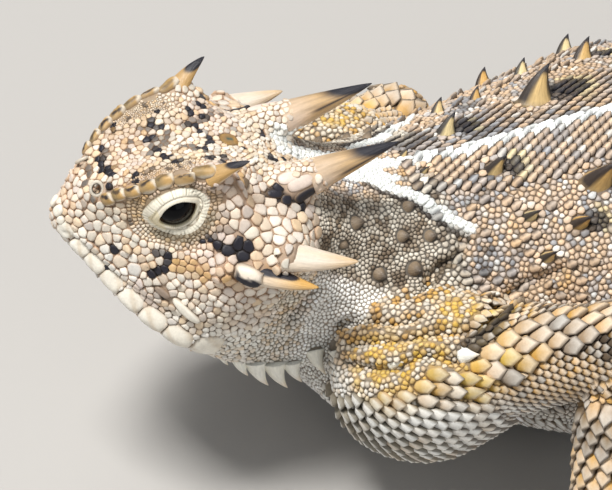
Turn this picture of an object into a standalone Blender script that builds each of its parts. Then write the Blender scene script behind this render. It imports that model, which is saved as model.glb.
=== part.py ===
"""A life-size still model of a horned lizard, standing with its head raised.

Metres, +Z up. The snout points along -Y and the tail along +Y, with the animal's left at +X.
Lengths below are millimetres, multiplied by MM where meshes are made. The body is worked out
with the snout near y = 0, and an empty moves it so that the origin is under the middle of the model.
"""

import math

import bmesh
import bpy
import numpy as np
from mathutils import Matrix, Vector

for old in list(bpy.data.objects):
    bpy.data.objects.remove(old)

MM = 0.001
GAP = 0.3  # between the faces of two parts that meet
MIDDLE = (-0.5, 66.0, 0.0)  # middle of the model's box on the floor, from the snout
LEFT, RIGHT = 1, -1
SIDE_NAMES = {LEFT: "left", RIGHT: "right"}

SNOUT = (0.2, -0.3, 28.2)  # where the snout's tip is held
HEAD_YAW, HEAD_PITCH, HEAD_ROLL = 3.5, 12.0, 2.5  # degrees: tail end to the left, snout up, left side down

# Rails of the head's left half, from the crown's middle down to the throat's middle. A rail is
# a smooth line from the snout to the back of the head, through points (half width, back, up)
# counted from the snout's tip. The number before them is how round the head turns there.
HEAD_BACK = 20.5
HEAD_RAILS = [
    ("crown", 1.0, [(0, 0.5, 1.9), (0, 2.4, 4.5), (0, 5.0, 6.4), (0, 9.0, 8.0), (0, 13.5, 7.8),
                    (0, 17.0, 7.0), (0, HEAD_BACK, 5.0)]),
    ("crown side", 1.0, [(0.6, 0.5, 1.9), (1.6, 2.4, 4.7), (2.6, 5.0, 6.8), (2.8, 9.0, 8.5),
                         (2.8, 13.0, 8.2), (2.9, 16.5, 7.2), (3.2, HEAD_BACK, 5.0)]),
    ("brow", 0.35, [(1.1, 0.8, 1.9), (3.1, 2.8, 4.5), (4.6, 5.0, 6.8), (5.2, 8.4, 9.0), (5.5, 11.4, 9.5),
                    (5.6, 14.3, 6.4), (5.8, 17.2, 5.8), (5.6, HEAD_BACK, 3.9)]),
    ("under the brow", 0.7, [(1.2, 0.7, 1.5), (3.2, 3.2, 3.6), (4.5, 5.2, 5.4), (5.2, 8.4, 7.6),
                             (5.9, 11.8, 8.0), (7.2, 14.6, 5.6), (7.9, 17.4, 4.9), (6.6, HEAD_BACK, 2.7)]),
    ("eye", 1.0, [(1.2, 0.6, 1.2), (3.3, 3.2, 2.4), (4.6, 5.4, 3.4), (5.5, 8.4, 4.8), (7.0, 11.8, 5.0),
                  (8.6, 15.0, 4.4), (9.4, 17.6, 3.9), (7.2, HEAD_BACK, 1.6)]),
    ("shelf", 0.6, [(1.2, 0.5, 0.9), (3.5, 3.2, 0.8), (5.2, 5.6, 0.8), (7.3, 8.8, 1.2), (9.0, 12.4, 1.6),
                    (9.4, 15.4, 1.5), (9.4, 17.8, 2.4), (7.6, HEAD_BACK, 0.4)]),
    ("upper lip", 0.6, [(1.0, 0.3, 0.5), (3.2, 2.6, -0.5), (5.0, 4.9, -1.9), (7.2, 7.8, -3.0),
                        (8.9, 10.6, -3.5), (9.2, 14.6, -2.4), (8.7, 17.6, -1.6), (7.7, HEAD_BACK, -1.8)]),
    ("mouth", 0.3, [(0.6, 0.6, 0.3), (2.7, 2.8, -0.8), (4.4, 5.1, -2.2), (6.6, 7.9, -3.3), (8.7, 10.5, -3.9),
                    (9.1, 14.4, -3.3), (8.4, 17.6, -2.9), (7.7, HEAD_BACK, -2.8)]),
    ("lower lip", 0.6, [(0.9, 0.4, 0.1), (3.0, 2.7, -1.1), (4.8, 5.0, -2.5), (6.9, 7.8, -3.6),
                        (8.7, 10.5, -4.3), (9.0, 14.2, -4.2), (8.1, 17.6, -4.2), (7.6, HEAD_BACK, -4.0)]),
    ("jaw edge", 0.4, [(0.8, 0.4, -0.3), (2.9, 2.6, -1.9), (4.9, 4.8, -3.7), (7.2, 7.8, -5.5),
                       (8.7, 10.8, -6.5), (8.4, 14.2, -7.0), (7.6, 17.6, -7.4), (7.3, HEAD_BACK, -7.4)]),
    ("throat", 1.0, [(0.6, 0.7, -0.9), (1.9, 3.0, -2.9), (3.2, 5.6, -5.0), (4.7, 8.6, -7.3),
                     (5.9, 12.0, -9.1), (6.5, 15.6, -10.5), (6.6, HEAD_BACK, -11.2)]),
    ("chin", 1.0, [(0, 0.7, -1.1), (0, 3.0, -3.3), (0, 5.6, -5.5), (0, 8.8, -8.0), (0, 12.4, -10.2),
                   (0, 16.2, -11.8), (0, HEAD_BACK, -12.6)]),
]
HEAD_RINGS = 24
NOSE_CAP = (0.55, 0.35)  # size of the last ring before the snout, against the first, and how far ahead it is
HEAD_STEPS = [1, 2, 1, 2, 2, 2, 1, 1, 1, 2, 1]  # faces between each rail and the next

# The trunk, from the back of the head to the tail's tip: back, half width, height of the top,
# height of the widest line, and height of the underside, which the floor flattens below zero.
TRUNK = np.array([
    (20.0, 8.4, 29.0, 21.5, 12.0),
    (25.0, 9.8, 27.0, 17.0, 7.6),
    (30.0, 12.4, 25.2, 13.0, 4.2),
    (36.0, 15.5, 24.6, 10.6, 2.2),
    (43.0, 18.4, 24.8, 9.2, 0.9),
    (52.0, 21.0, 24.8, 8.0, -0.2),
    (61.0, 21.6, 23.6, 7.4, -0.5),
    (69.0, 18.4, 21.0, 7.0, -0.5),
    (76.0, 13.4, 17.4, 6.3, -0.4),
    (82.0, 10.0, 13.8, 5.5, -0.3),
    (88.0, 7.6, 10.8, 4.6, -0.3),
    (97.0, 5.2, 7.8, 3.4, -0.3),
    (109.0, 3.3, 5.2, 2.3, -0.2),
    (121.0, 2.0, 3.4, 1.5, -0.2),
    (132.0, 0.5, 1.5, 0.7, 0.0),
])
NECK_END, TAIL_START, TAIL_END = 30.0, 88.0, 132.0
NECK_RINGS, TORSO_RINGS, TAIL_RINGS = 6, 21, 13
NECK_LENGTH = 10.0  # about how long the neck's skin is, for its gap to the head
TAIL_BEND = 9.0  # how far right of the middle the tail's tip lies
BACK_POWER, BELLY_POWER = 1.25, 0.62  # above 1 a section is like a tent, below 1 like a box
TRUNK_SIDES = 32

# The eye and its lids, in the head's frame.
EYE = (3.95, 8.05, 5.4)
EYE_RADIUS = 2.1
LID_THICKNESS = 0.45
EYE_SLIT = (3.0, 2.1)  # length and height of the opening between the lids
EYE_SLIT_TILT = 30.0
SLIT_REACH = 3.0  # how far out of the eye's middle the opening is cut
NOSTRIL, NOSTRIL_RADIUS = (1.75, 2.5, 4.6), 0.42
EAR, EAR_RADII = (9.0, 16.6, -3.0), (0.7, 0.9, 0.9)
EYE_FACES, SLIT_FACES = (14, 9), (14, 8)  # round and down the balls
SOCKET_FACES, PIT_FACES = (18, 12), (8, 6)

# Horns in the head's frame: root, tip, radius at the root, and the share of it that the head holds.
HORNS = {
    "occipital_horn": ((3.6, 17.6, 5.7), (3.6, 26.4, 10.1), 1.85, 0.30),
    "brow_horn": ((5.3, 10.6, 8.6), (6.4, 12.8, 11.0), 0.95, 0.36),
    "temporal_horn_3": ((8.9, 16.8, 3.2), (10.45, 22.3, 3.7), 1.55, 0.36),
    "temporal_horn_2": ((8.8, 14.6, 1.6), (11.7, 18.9, 2.2), 1.35, 0.48),
}
TEMPORAL_HORN_1 = ((8.4, 12.2, 1.5), (9.9, 15.4, 0.8), 1.2)
HORN_SIDES, SMALL_HORN_SIDES = 9, 7
BOSS_SWELL = 1.08  # the root that the head holds, against the horn's own radius

# Limbs: the joints from the body outwards with the radius at each, the share of the first bone
# that the torso holds, and which way the foot points, in degrees out from straight ahead.
LIMBS = {
    ("arm", LEFT): ([(11.5, 27.2, 13.0), (21.0, 41.0, 18.6), (24.8, 37.6, 3.6)], (7.3, 3.4, 2.0), 0.56, 28),
    ("arm", RIGHT): ([(-11.5, 27.2, 13.0), (-20.4, 37.6, 10.6), (-25.4, 29.4, 3.4)],
                     (7.3, 3.4, 2.0), 0.56, 20),
    ("leg", LEFT): ([(7.5, 81.0, 7.4), (25.0, 77.0, 8.8), (28.0, 90.5, 3.6)], (5.4, 3.6, 2.0), 0.58, 62),
    ("leg", RIGHT): ([(-7.5, 81.0, 7.4), (-24.6, 75.0, 8.6), (-29.5, 88.0, 3.6)], (5.4, 3.6, 2.0), 0.62, 55),
}
BULGES = {  # how far before and past the first joint, and the radius there
    "arm": ((-7.4, 1.5), (-6.4, 3.9), (-4.4, 5.9), (-1.6, 7.1), (1.4, 7.2), (4.4, 6.2), (7.2, 4.9)),
    "leg": ((-5.2, 1.0), (-4.4, 2.8), (-2.8, 4.4), (-0.6, 5.3), (2.0, 5.4), (5.0, 4.9), (8.0, 4.4)),
}
BULGE_SIDES = 14
CHEST, CHEST_SIZE = (0, 27.4, 8.6), (12.0, 8.4, 5.6)  # the breast between the shoulders, half sizes
CHEST_FACES = (16, 9)
BEND_FACES, WRIST_FACES = (12, 8), (10, 6)
LIMB_STEPS = (0.35, 1.0)  # the stretch of the first bone that is modelled under the shoulder's bulge
LIMB_SWELL = (0.0, 0.35, 0.7, 1.0)  # where the first bone's thickness is set, as shares of its length
SWELL_SHARES = (0.8, 0.66)  # thickness at the first two of them, as shares of the joint's radius
MUSCLE = {"arm": 1.12, "leg": 1.2}  # thickness at the third, as a share of the bend's radius
BEND_MEET, WRIST_MEET = 0.5, 0.8  # where parts meet: past the bend, in its radii, and before the wrist
FORE_SWELL = (0.86, 0.92)  # the second bone's first thicknesses, as shares of the bend's radius
FORE_MARKS = (0.0, 0.3, 1.0)  # where they and the wrist's radius are set
WRIST_SWELL = 1.05
LIMB_NAMES = {"arm": ("upper_arm", "forearm", "hand"), "leg": ("thigh", "shank", "foot")}
TOE_ANGLES = {"arm": (-62, -28, 2, 30, 66), "leg": (-58, -26, 0, 22, 62)}  # the first is the inner toe
TOE_LENGTHS = {"arm": (3.2, 4.6, 5.2, 4.8, 3.4), "leg": (2.8, 4.4, 6.0, 7.2, 4.0)}
PALM = {"arm": (3.0, 2.3, 1.5), "leg": (3.8, 2.2, 1.5)}  # half length, half width, half height
PALM_PROFILE = ((-1, 0.6), (-0.6, 0.85), (0, 1.0), (0.7, 0.9), (1, 0.6))  # back to front, and width there
PALM_AHEAD, PALM_LEVEL = 0.7, 0.9  # its middle before the wrist in half lengths, and up in half heights
PALM_SIDES, TOE_SIDES, CLAW_SIDES = 10, 6, 4
TOE_ROOT = 0.35  # where a toe starts, ahead and aside, as shares of the palm's half sizes
TOE_RADIUS, TOE_TAPER = 0.75, (1.1, 1.0, 0.8)
TOE_HEIGHTS, CLAW_HEIGHTS = (1.0, 1.25, 0.55), (0.75, 0.15)  # root, knuckle, end, then root and tip
TOE_OVERLAP, CLAW_HELD = 0.4, 0.5  # how far a toe runs past its length, and a claw starts inside it
CLAW, CLAW_RADIUS = 1.9, 0.42

# Rows of pieces on the head, as points along a line in the head's frame.
BROW_ROW = [(3.3, 2.5, 3.4), (4.4, 3.9, 5.7), (5.2, 6.2, 7.7), (5.5, 9.3, 9.1)]
BROW_COUNT, BROW_SIZE = 6, (1.1, 1.5)  # across at the front and at the back
SHIELD_ROW = [(1.3, 0.9, 0.0), (3.2, 2.6, -1.7), (5.4, 5.2, -4.0), (7.4, 8.0, -5.2), (8.8, 11.4, -6.0)]
SHIELD_COUNT, SHIELD_SIZE = 8, (1.0, 1.9)
GULAR_ROW = [(6.2, 14.6, -10.0), (6.5, 17.0, -10.7), (6.7, 20.2, -10.9)]
GULAR_LENGTHS = (1.1, 1.7, 2.7, 2.3)
BROW_FACING, SHIELD_FACING = (0.85, -0.2, 0.5), (0.8, -0.25, -0.55)
GULAR_FACING, NAPE_FACING = (0.45, 0, -0.9), (0.1, 0.3, 1)
BROW_HEIGHT, SHIELD_HEIGHT = 0.3, 0.35
SCUTE_SIDES, SCUTE_LONG = 6, 1.35  # a scute's corners, and its length against its width
SCUTE_RINGS = ((0.8, -0.5), (1.0, 0.0), (0.5, None))  # size and height, where none is the scute's own
NAPE_TUBERCLES = [(0.9, 16.6, 7.2), (2.0, 18.6, 6.4), (1.2, 14.4, 7.8), (3.6, 14.9, 7.0)]
NAPE_SIZE = (0.55, 0.35)  # length and radius

# Rows of spines on the trunk: where round it each one stands, as a share of the whole turn from
# the middle of the back, how far back, and how long.
BACK_SPINES = {
    "inner": [(0.029, 36.2, 1.9), (0.042, 44.3, 3.1), (0.047, 53.5, 3.2), (0.050, 62.5, 3.0),
              (0.060, 71.0, 2.6), (0.070, 78.5, 2.2)],
    "middle": [(0.078, 37.4, 1.5), (0.083, 42.8, 2.0), (0.088, 49.8, 2.4), (0.095, 58.0, 2.5),
               (0.105, 66.5, 2.3), (0.12, 74.5, 2.0)],
    "outer": [(0.118, 40.2, 1.8), (0.135, 46.5, 2.0), (0.14, 54.0, 2.2), (0.145, 62.0, 2.2),
              (0.15, 69.5, 2.0)],
}
SPINE_SIDES, SPINE_ROOT = 5, 0.6  # corners, and how deep a spine starts under the skin
SPINE_WIDTH, NECK_WIDTH, LIMB_WIDTH = 0.36, 0.42, 0.40  # radius as a share of the length
BACK_LEAN, FRINGE_LEAN, NECK_LEAN, THROAT_LEAN, NAPE_LEAN = 40, 38, 35, 28, 20  # degrees back
FRINGE_FLAT, TAIL_FLAT = 0.6, 0.8  # thickness as a share of the width
FRINGE_ENDS, FRINGE_TURNS = 0.72, (0.85, 1.0)  # lengths at both ends, and of every other spine
TAIL_SHRINK = 0.72  # by how much a spine at the tail's tip is shorter than the first
FRINGES = {  # turn, first and last place back, count, longest spine
    "upper": (0.235, 35.0, 75.0, 17, 3.2),
    "lower": (0.285, 41.5, 71.0, 12, 2.0),
}
FRINGE_BREAKS = {LEFT: (33.0, 40.5), RIGHT: (33.0, 42.8)}  # where the foreleg lies against the body
TAIL_SPINES = {"top": (0.09, 90.0, 124.0, 9, 1.7), "side": (0.235, 89.5, 127.0, 12, 2.0)}
NECK_SPINES = [(0.35, 0.075, 1.2), (0.75, 0.10, 1.5), (0.45, 0.17, 1.3), (0.62, 0.21, 1.4), (0.12, 0.36, 2.2),
               (0.26, 0.33, 2.0), (0.55, 0.27, 1.5)]
LIMB_SPINES = {  # share of the way along the limb part, degrees round it from the top, length
    "upper_arm": [(0.25, 10, 1.3), (0.6, -25, 1.5), (0.8, 30, 1.5)],
    "forearm": [(0.2, 100, 1.2), (0.45, 75, 1.3), (0.7, 100, 1.1)],
    "thigh": [(0.2, 10, 1.8), (0.45, -30, 1.9), (0.6, 25, 2.1), (0.85, -10, 2.0)],
    "shank": [(0.15, 60, 1.8), (0.4, 30, 1.7), (0.65, 70, 1.4)],
}

SKIN_COLOUR = (0.62, 0.50, 0.36)
HORN_COLOUR = (0.66, 0.50, 0.30)
EYE_COLOUR = (0.02, 0.015, 0.012)
SHARP_ANGLE = 38  # degrees between faces past which an edge is drawn sharp


def through(points, shares, knots=None):
    """Points of a smooth curve through the given ones, at shares of its length or on the knots' scale."""
    points = np.asarray(points, float)
    if knots is None:
        knots = np.r_[0, np.cumsum(np.linalg.norm(np.diff(points, axis=0), axis=1))]
        knots = knots / knots[-1]
    slopes = np.gradient(points, knots, axis=0)
    shares = np.asarray(shares, float)
    i = np.clip(np.searchsorted(knots, shares, side="right") - 1, 0, len(knots) - 2)
    span = (knots[i + 1] - knots[i])[..., None]
    f = (shares - knots[i])[..., None] / span
    return hermite(points[i], points[i + 1], slopes[i] * span, slopes[i + 1] * span, f)


def hermite(a, b, slope_a, slope_b, f):
    """The cubic from a to b with the given slopes, at shares f."""
    return (
        a * (1 - f) ** 2 * (1 + 2 * f)
        + b * f**2 * (3 - 2 * f)
        + slope_a * f * (1 - f) ** 2
        - slope_b * f**2 * (1 - f)
    )


def material(name, colour, roughness):
    """A plain painted finish."""
    made = bpy.data.materials.new(name)
    made.use_nodes = True
    shader = made.node_tree.nodes["Principled BSDF"]
    shader.inputs["Base Color"].default_value = (*colour, 1)
    shader.inputs["Roughness"].default_value = roughness
    shader.inputs["Metallic"].default_value = 0
    made.diffuse_color = (*colour, 1)
    return made


def new_object(name, points, faces):
    """A mesh object from points in millimetres and faces that name them."""
    mesh = bpy.data.meshes.new(name)
    mesh.from_pydata((np.asarray(points) * MM).tolist(), [], faces)
    made = bpy.data.objects.new(name, mesh)
    bpy.context.scene.collection.objects.link(made)
    return made


def loft(name, rings):
    """A closed solid through rings of equally many points, with a flat face at each end."""
    rings = np.asarray(rings, float)
    count, sides = rings.shape[:2]
    here = np.arange(count * sides).reshape(count, sides)
    after = np.roll(here, -1, axis=1)
    faces = np.stack([here[:-1], after[:-1], after[1:], here[1:]], axis=-1).reshape(-1, 4).tolist()
    faces += [here[0][::-1].tolist(), here[-1].tolist()]
    made = new_object(name, rings.reshape(-1, 3), faces)
    outwards(made)
    return made


def outwards(made):
    """Turns the faces of a closed mesh so that they all point out."""
    shape = bmesh.new()
    shape.from_mesh(made.data)
    bmesh.ops.recalc_face_normals(shape, faces=shape.faces)
    shape.to_mesh(made.data)
    shape.free()


def cone(root, tip, radius, sides=SPINE_SIDES, flat=1.0, wide=None):
    """A pointed spine from root to tip, flat times as thick as it is wide, with its width along wide."""
    root, tip = Vector(root), Vector(tip)
    along = (tip - root).normalized()
    across = Vector(wide) if wide is not None else along.orthogonal()
    across = (across - along * across.dot(along)).normalized()
    turn = Matrix((across, along.cross(across), along)).transposed().to_4x4()
    shape = bmesh.new()
    bmesh.ops.create_cone(
        shape, cap_ends=True, segments=sides, radius1=radius, radius2=0, depth=(tip - root).length,
        matrix=Matrix.Translation((root + tip) / 2) @ turn @ Matrix.Diagonal((1, flat, 1, 1)),
    )
    mesh = bpy.data.meshes.new("cone")
    shape.to_mesh(mesh)
    shape.free()
    mesh.transform(Matrix.Scale(MM, 4))
    made = bpy.data.objects.new("cone", mesh)
    bpy.context.scene.collection.objects.link(made)
    return made


def ball(centre, radii, faces=BEND_FACES):
    """An ellipsoid of so many faces round it and down it."""
    shape = bmesh.new()
    place = Matrix.Translation(Vector(centre)) @ Matrix.Diagonal((*radii, 1))
    bmesh.ops.create_uvsphere(shape, u_segments=faces[0], v_segments=faces[1], radius=1, matrix=place)
    mesh = bpy.data.meshes.new("ball")
    shape.to_mesh(mesh)
    shape.free()
    mesh.transform(Matrix.Scale(MM, 4))
    made = bpy.data.objects.new("ball", mesh)
    bpy.context.scene.collection.objects.link(made)
    return made


def combine(base, pieces, operation):
    """Joins closed pieces to base, or cuts them from it, and removes them."""
    group = bpy.data.collections.new("pieces")
    bpy.context.scene.collection.children.link(group)
    for piece in pieces:
        group.objects.link(piece)
    boolean = base.modifiers.new("combine", "BOOLEAN")
    boolean.operation = operation
    boolean.operand_type = "COLLECTION"
    boolean.collection = group
    boolean.solver = "MANIFOLD"
    bpy.context.view_layer.update()
    graph = bpy.context.evaluated_depsgraph_get()
    mesh = bpy.data.meshes.new_from_object(base.evaluated_get(graph))
    base.modifiers.remove(boolean)
    base.data = mesh
    for piece in pieces:
        bpy.data.objects.remove(piece)
    bpy.data.collections.remove(group)
    keep_largest(base)


def keep_largest(made):
    """Keeps only the closed surface with the most room in it."""
    shape = bmesh.new()
    shape.from_mesh(made.data)
    left, islands = set(shape.verts), []
    while left:
        island, edge = set(), [left.pop()]
        while edge:
            vertex = edge.pop()
            island.add(vertex)
            for link in vertex.link_edges:
                other = link.other_vert(vertex)
                if other in left:
                    left.remove(other)
                    edge.append(other)
        islands.append(island)

    def room(island):
        points = np.array([vertex.co for vertex in island])
        return np.prod(np.ptp(points, axis=0))

    largest = max(islands, key=room)
    spare = [vertex for island in islands if island is not largest for vertex in island]
    bmesh.ops.delete(shape, geom=spare, context="VERTS")
    shape.to_mesh(made.data)
    shape.free()


def sliced(made, point, facing):
    """Cuts away what lies beyond a plane, and closes the cut with a flat face."""
    shape = bmesh.new()
    shape.from_mesh(made.data)
    bmesh.ops.bisect_plane(
        shape, geom=shape.verts[:] + shape.edges[:] + shape.faces[:], dist=1e-7,
        plane_co=Vector(point) * MM, plane_no=Vector(facing), clear_outer=True,
    )
    rim = [edge for edge in shape.edges if edge.is_boundary]
    if rim:
        bmesh.ops.holes_fill(shape, edges=rim, sides=0)
    shape.to_mesh(made.data)
    shape.free()
    keep_largest(made)
    outwards(made)
    return made


def tube(points, radii, sides=12, flat=1.0):
    """A solid round a path, with flat ends square to it."""
    points = np.asarray(points, float)
    along = np.gradient(points, axis=0)
    along /= np.linalg.norm(along, axis=1, keepdims=True)
    across = np.cross(along, (0, 0, 1))
    across /= np.linalg.norm(across, axis=1, keepdims=True)
    up = np.cross(across, along)
    turn = np.linspace(0, 2 * math.pi, sides, endpoint=False)[:, None]
    rings = [
        point + radius * (np.cos(turn) * a + flat * np.sin(turn) * b)
        for point, radius, a, b in zip(points, radii, across, up)
    ]
    return loft("tube", rings)


def head_turn():
    """From the head's frame to the body's, in millimetres."""
    yaw, pitch, roll = (math.radians(angle) for angle in (HEAD_YAW, HEAD_PITCH, HEAD_ROLL))
    lift = Matrix.Rotation(-pitch, 3, "X")
    swing = Matrix.Rotation(-yaw, 3, "Z")
    lean = Matrix.Rotation(roll, 3, "Y")
    return swing @ lift @ lean


HEAD_TURN = np.array(head_turn())


def from_head(points):
    """Points of the head's frame in the body's frame."""
    return np.asarray(points, float) @ HEAD_TURN.T + np.array(SNOUT)


def head_half(share):
    """The left half ring of the head at shares of the way back, from crown to chin."""
    rails = np.array([through(points, share) for _, _, points in HEAD_RAILS])
    roundness = np.array([turn for _, turn, _ in HEAD_RAILS])[:, None, None]
    mirrored = rails * (-1, 1, 1)
    padded = np.concatenate([mirrored[1:2], rails, mirrored[-2:-1]])
    slopes = (padded[2:] - padded[:-2]) / 2 * roundness
    lines = []
    for j, steps in enumerate(HEAD_STEPS):
        for f in np.arange(steps) / steps:
            lines.append(hermite(rails[j], rails[j + 1], slopes[j], slopes[j + 1], f))
    lines.append(rails[-1])
    return np.array(lines)


def head_rings(share):
    """Whole rings of the head, in the body's frame."""
    half = head_half(share)
    ring = np.concatenate([half, half[-2:0:-1] * (-1, 1, 1)])
    return from_head(ring.transpose(1, 0, 2))


def both_sides(point, side):
    """A point of the head's left side, or its mirror image on the right, in the body's frame."""
    return from_head(np.array(point, float) * (side, 1, 1))


def trunk_points(back, angle):
    """Points of the trunk's skin. The angle runs from the middle of the back, 0, down the left side."""
    width, top, level, under = np.moveaxis(through(TRUNK[:, 1:], back, TRUNK[:, 0]), -1, 0)
    aside = -TAIL_BEND * np.clip((back - TAIL_START) / (TAIL_END - TAIL_START), 0, 1) ** 2
    across, up = np.sin(angle), np.cos(angle)
    above = np.abs(up) ** BACK_POWER * (top - level)
    below = -(np.abs(up) ** BELLY_POWER) * (level - under)
    height = np.maximum(level + np.where(up > 0, above, below), 0)
    return np.stack([aside + width * across, back + 0 * across, height], axis=-1)


def neck_points(share, turn):
    """Points of the neck's skin, from the head's back ring to the torso's first. A turn of 0 is on top."""
    rings = head_rings(np.array([0.9, 1.0]))
    count = len(rings[1])
    lengths = np.linalg.norm(np.diff(rings[1], axis=0, append=rings[1][:1]), axis=1)
    marks = np.arange(count + 1) / count
    travelled = np.r_[0, np.cumsum(lengths)] / lengths.sum()
    angle = 2 * math.pi * np.interp(turn, marks, travelled)

    def at(values):
        closed = np.concatenate([values, values[:1]])
        return np.stack([np.interp(turn, marks, closed[:, k]) for k in range(3)], axis=-1)

    start, leave = at(rings[1]), at(rings[1] - rings[0]) / (0.1 * HEAD_BACK)
    end = trunk_points(NECK_END + 0 * angle, angle)
    after, before = (trunk_points(NECK_END + step + 0 * angle, angle) for step in (1, -1))
    arrive = (after - before) / 2
    span = np.linalg.norm(end - start, axis=-1, keepdims=True)
    return hermite(start, end, leave * span, arrive * span, np.asarray(share, float)[..., None])


def grid(surface, first, second):
    """A surface's points at every pair of the two lists of places."""
    a, b = np.meshgrid(first, second, indexing="ij")
    return surface(a, b)


def placed(surface, first, second, step=0.02):
    """A surface's point, which way it faces and which way leads back along it."""
    first, second = np.array(float(first)), np.array(float(second))
    point = surface(first, second)
    back = surface(first + step, second) - surface(first - step, second)
    facing = np.cross(surface(first, second + step) - surface(first, second - step), back)
    return point, facing / np.linalg.norm(facing), back / np.linalg.norm(back)


def spike(point, facing, back, length, radius, lean, flat=1.0):
    """A spine that stands on the skin and leans back by some degrees."""
    lean = math.radians(lean)
    way = math.cos(lean) * np.asarray(facing) + math.sin(lean) * np.asarray(back)
    root, tip = point - SPINE_ROOT * way, point + length * way
    return cone(root, tip, radius, SPINE_SIDES, flat, wide=np.cross(facing, back))


def stud(point, facing, along, radius, height):
    """A low scute with a small flat top, longer along one way."""
    facing = np.asarray(facing, float) / np.linalg.norm(facing)
    along = np.asarray(along, float) - facing * np.dot(along, facing)
    along /= np.linalg.norm(along)
    across = np.cross(facing, along)
    turn = np.linspace(0, 2 * math.pi, SCUTE_SIDES, endpoint=False)[:, None] + 0.5
    rim = radius * (SCUTE_LONG * np.cos(turn) * along + np.sin(turn) * across)
    return loft("stud", [point + rim * scale + facing * (height if lift is None else lift)
                         for scale, lift in SCUTE_RINGS])


def row(points, count, size):
    """Places along a line, with the way the line runs and the size at each."""
    shares = (np.arange(count) + 0.5) / count
    at = through(points, shares)
    way = through(points, shares + 0.01) - through(points, shares - 0.01)
    return list(zip(at, way, np.linspace(size[0], size[1], count) / 2))


def head_pieces(side):
    """The brow's scutes, the jaw's shields, the throat's spines and the nape's tubercles of one side."""
    mirror = np.array((side, 1, 1))

    def turned(vector):
        return HEAD_TURN @ (np.asarray(vector, float) * mirror)

    pieces, backwards = [], turned((0, 1, 0))
    for at, way, size in row(BROW_ROW, BROW_COUNT, BROW_SIZE):
        pieces.append(stud(both_sides(at, side), turned(BROW_FACING), turned(way), size, BROW_HEIGHT))
    for at, way, size in row(SHIELD_ROW, SHIELD_COUNT, SHIELD_SIZE):
        pieces.append(stud(both_sides(at, side), turned(SHIELD_FACING), turned(way), size, SHIELD_HEIGHT))
    for (at, _, _), length in zip(row(GULAR_ROW, len(GULAR_LENGTHS), (1, 1)), GULAR_LENGTHS):
        pieces.append(spike(both_sides(at, side), turned(GULAR_FACING), backwards, length,
                            SPINE_WIDTH * length, THROAT_LEAN))
    for at in NAPE_TUBERCLES:
        pieces.append(spike(both_sides(at, side), turned(NAPE_FACING), backwards, *NAPE_SIZE, NAPE_LEAN))
    return pieces


def trunk_spine(turn, back, length, side, lean=BACK_LEAN, flat=1.0):
    """A spine on the trunk's skin."""
    point, facing, way = placed(trunk_points, back, side * turn * 2 * math.pi)
    return spike(point, facing, way, length, length * SPINE_WIDTH, lean, flat)


def torso_pieces(side):
    """The torso's back spines and the two rows of its fringe, on one side."""
    pieces = [trunk_spine(*place, side) for line in BACK_SPINES.values() for place in line]
    low, high = FRINGE_BREAKS[side]
    for turn, first, last, count, longest in FRINGES.values():
        for i, back in enumerate(np.linspace(first, last, count)):
            if low < back < high:
                continue
            swell = FRINGE_ENDS + (1 - FRINGE_ENDS) * math.sin(math.pi * i / (count - 1))
            length = longest * swell * FRINGE_TURNS[i % 2]
            pieces.append(trunk_spine(turn, back, length, side, FRINGE_LEAN, FRINGE_FLAT))
    return pieces


def tail_pieces(side):
    """The spines along the tail on one side, which grow smaller towards its tip."""
    pieces = []
    for turn, first, last, count, longest in TAIL_SPINES.values():
        for back in np.linspace(first, last, count):
            length = longest * (1 - TAIL_SHRINK * (back - first) / (last - first))
            pieces.append(trunk_spine(turn, back, length, side, BACK_LEAN, TAIL_FLAT))
    return pieces


def neck_pieces(side):
    """The neck's spines on one side."""
    pieces = []
    for share, turn, length in NECK_SPINES:
        point, facing, way = placed(neck_points, share, turn if side == LEFT else 1 - turn)
        pieces.append(spike(point, facing, way, length, length * NECK_WIDTH, NECK_LEAN))
    return pieces


def limb_pieces(name, side, start, end, sizes):
    """The larger spines of one limb part, whose radius runs through some sizes."""
    along = (end - start) / np.linalg.norm(end - start)
    across = np.cross(along, (0, 0, 1))
    across *= side / np.linalg.norm(across)
    up = np.cross(across, along) * side
    pieces = []
    for share, turn, length in LIMB_SPINES[name]:
        turn = math.radians(turn)
        facing = math.cos(turn) * up - math.sin(turn) * across
        radius = np.interp(share, np.linspace(0, 1, len(sizes)), sizes)
        point = start + share * (end - start) + facing * radius * 0.97
        pieces.append(spike(point, facing, along, length, length * LIMB_WIDTH, BACK_LEAN))
    return pieces


def bulge(kind, first, way, grown):
    """The shoulder or hip round the first joint, grown by some millimetres."""
    return tube([first + way * (along + math.copysign(grown, along)) for along, _ in BULGES[kind]],
                [radius + grown for _, radius in BULGES[kind]], BULGE_SIDES)


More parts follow.
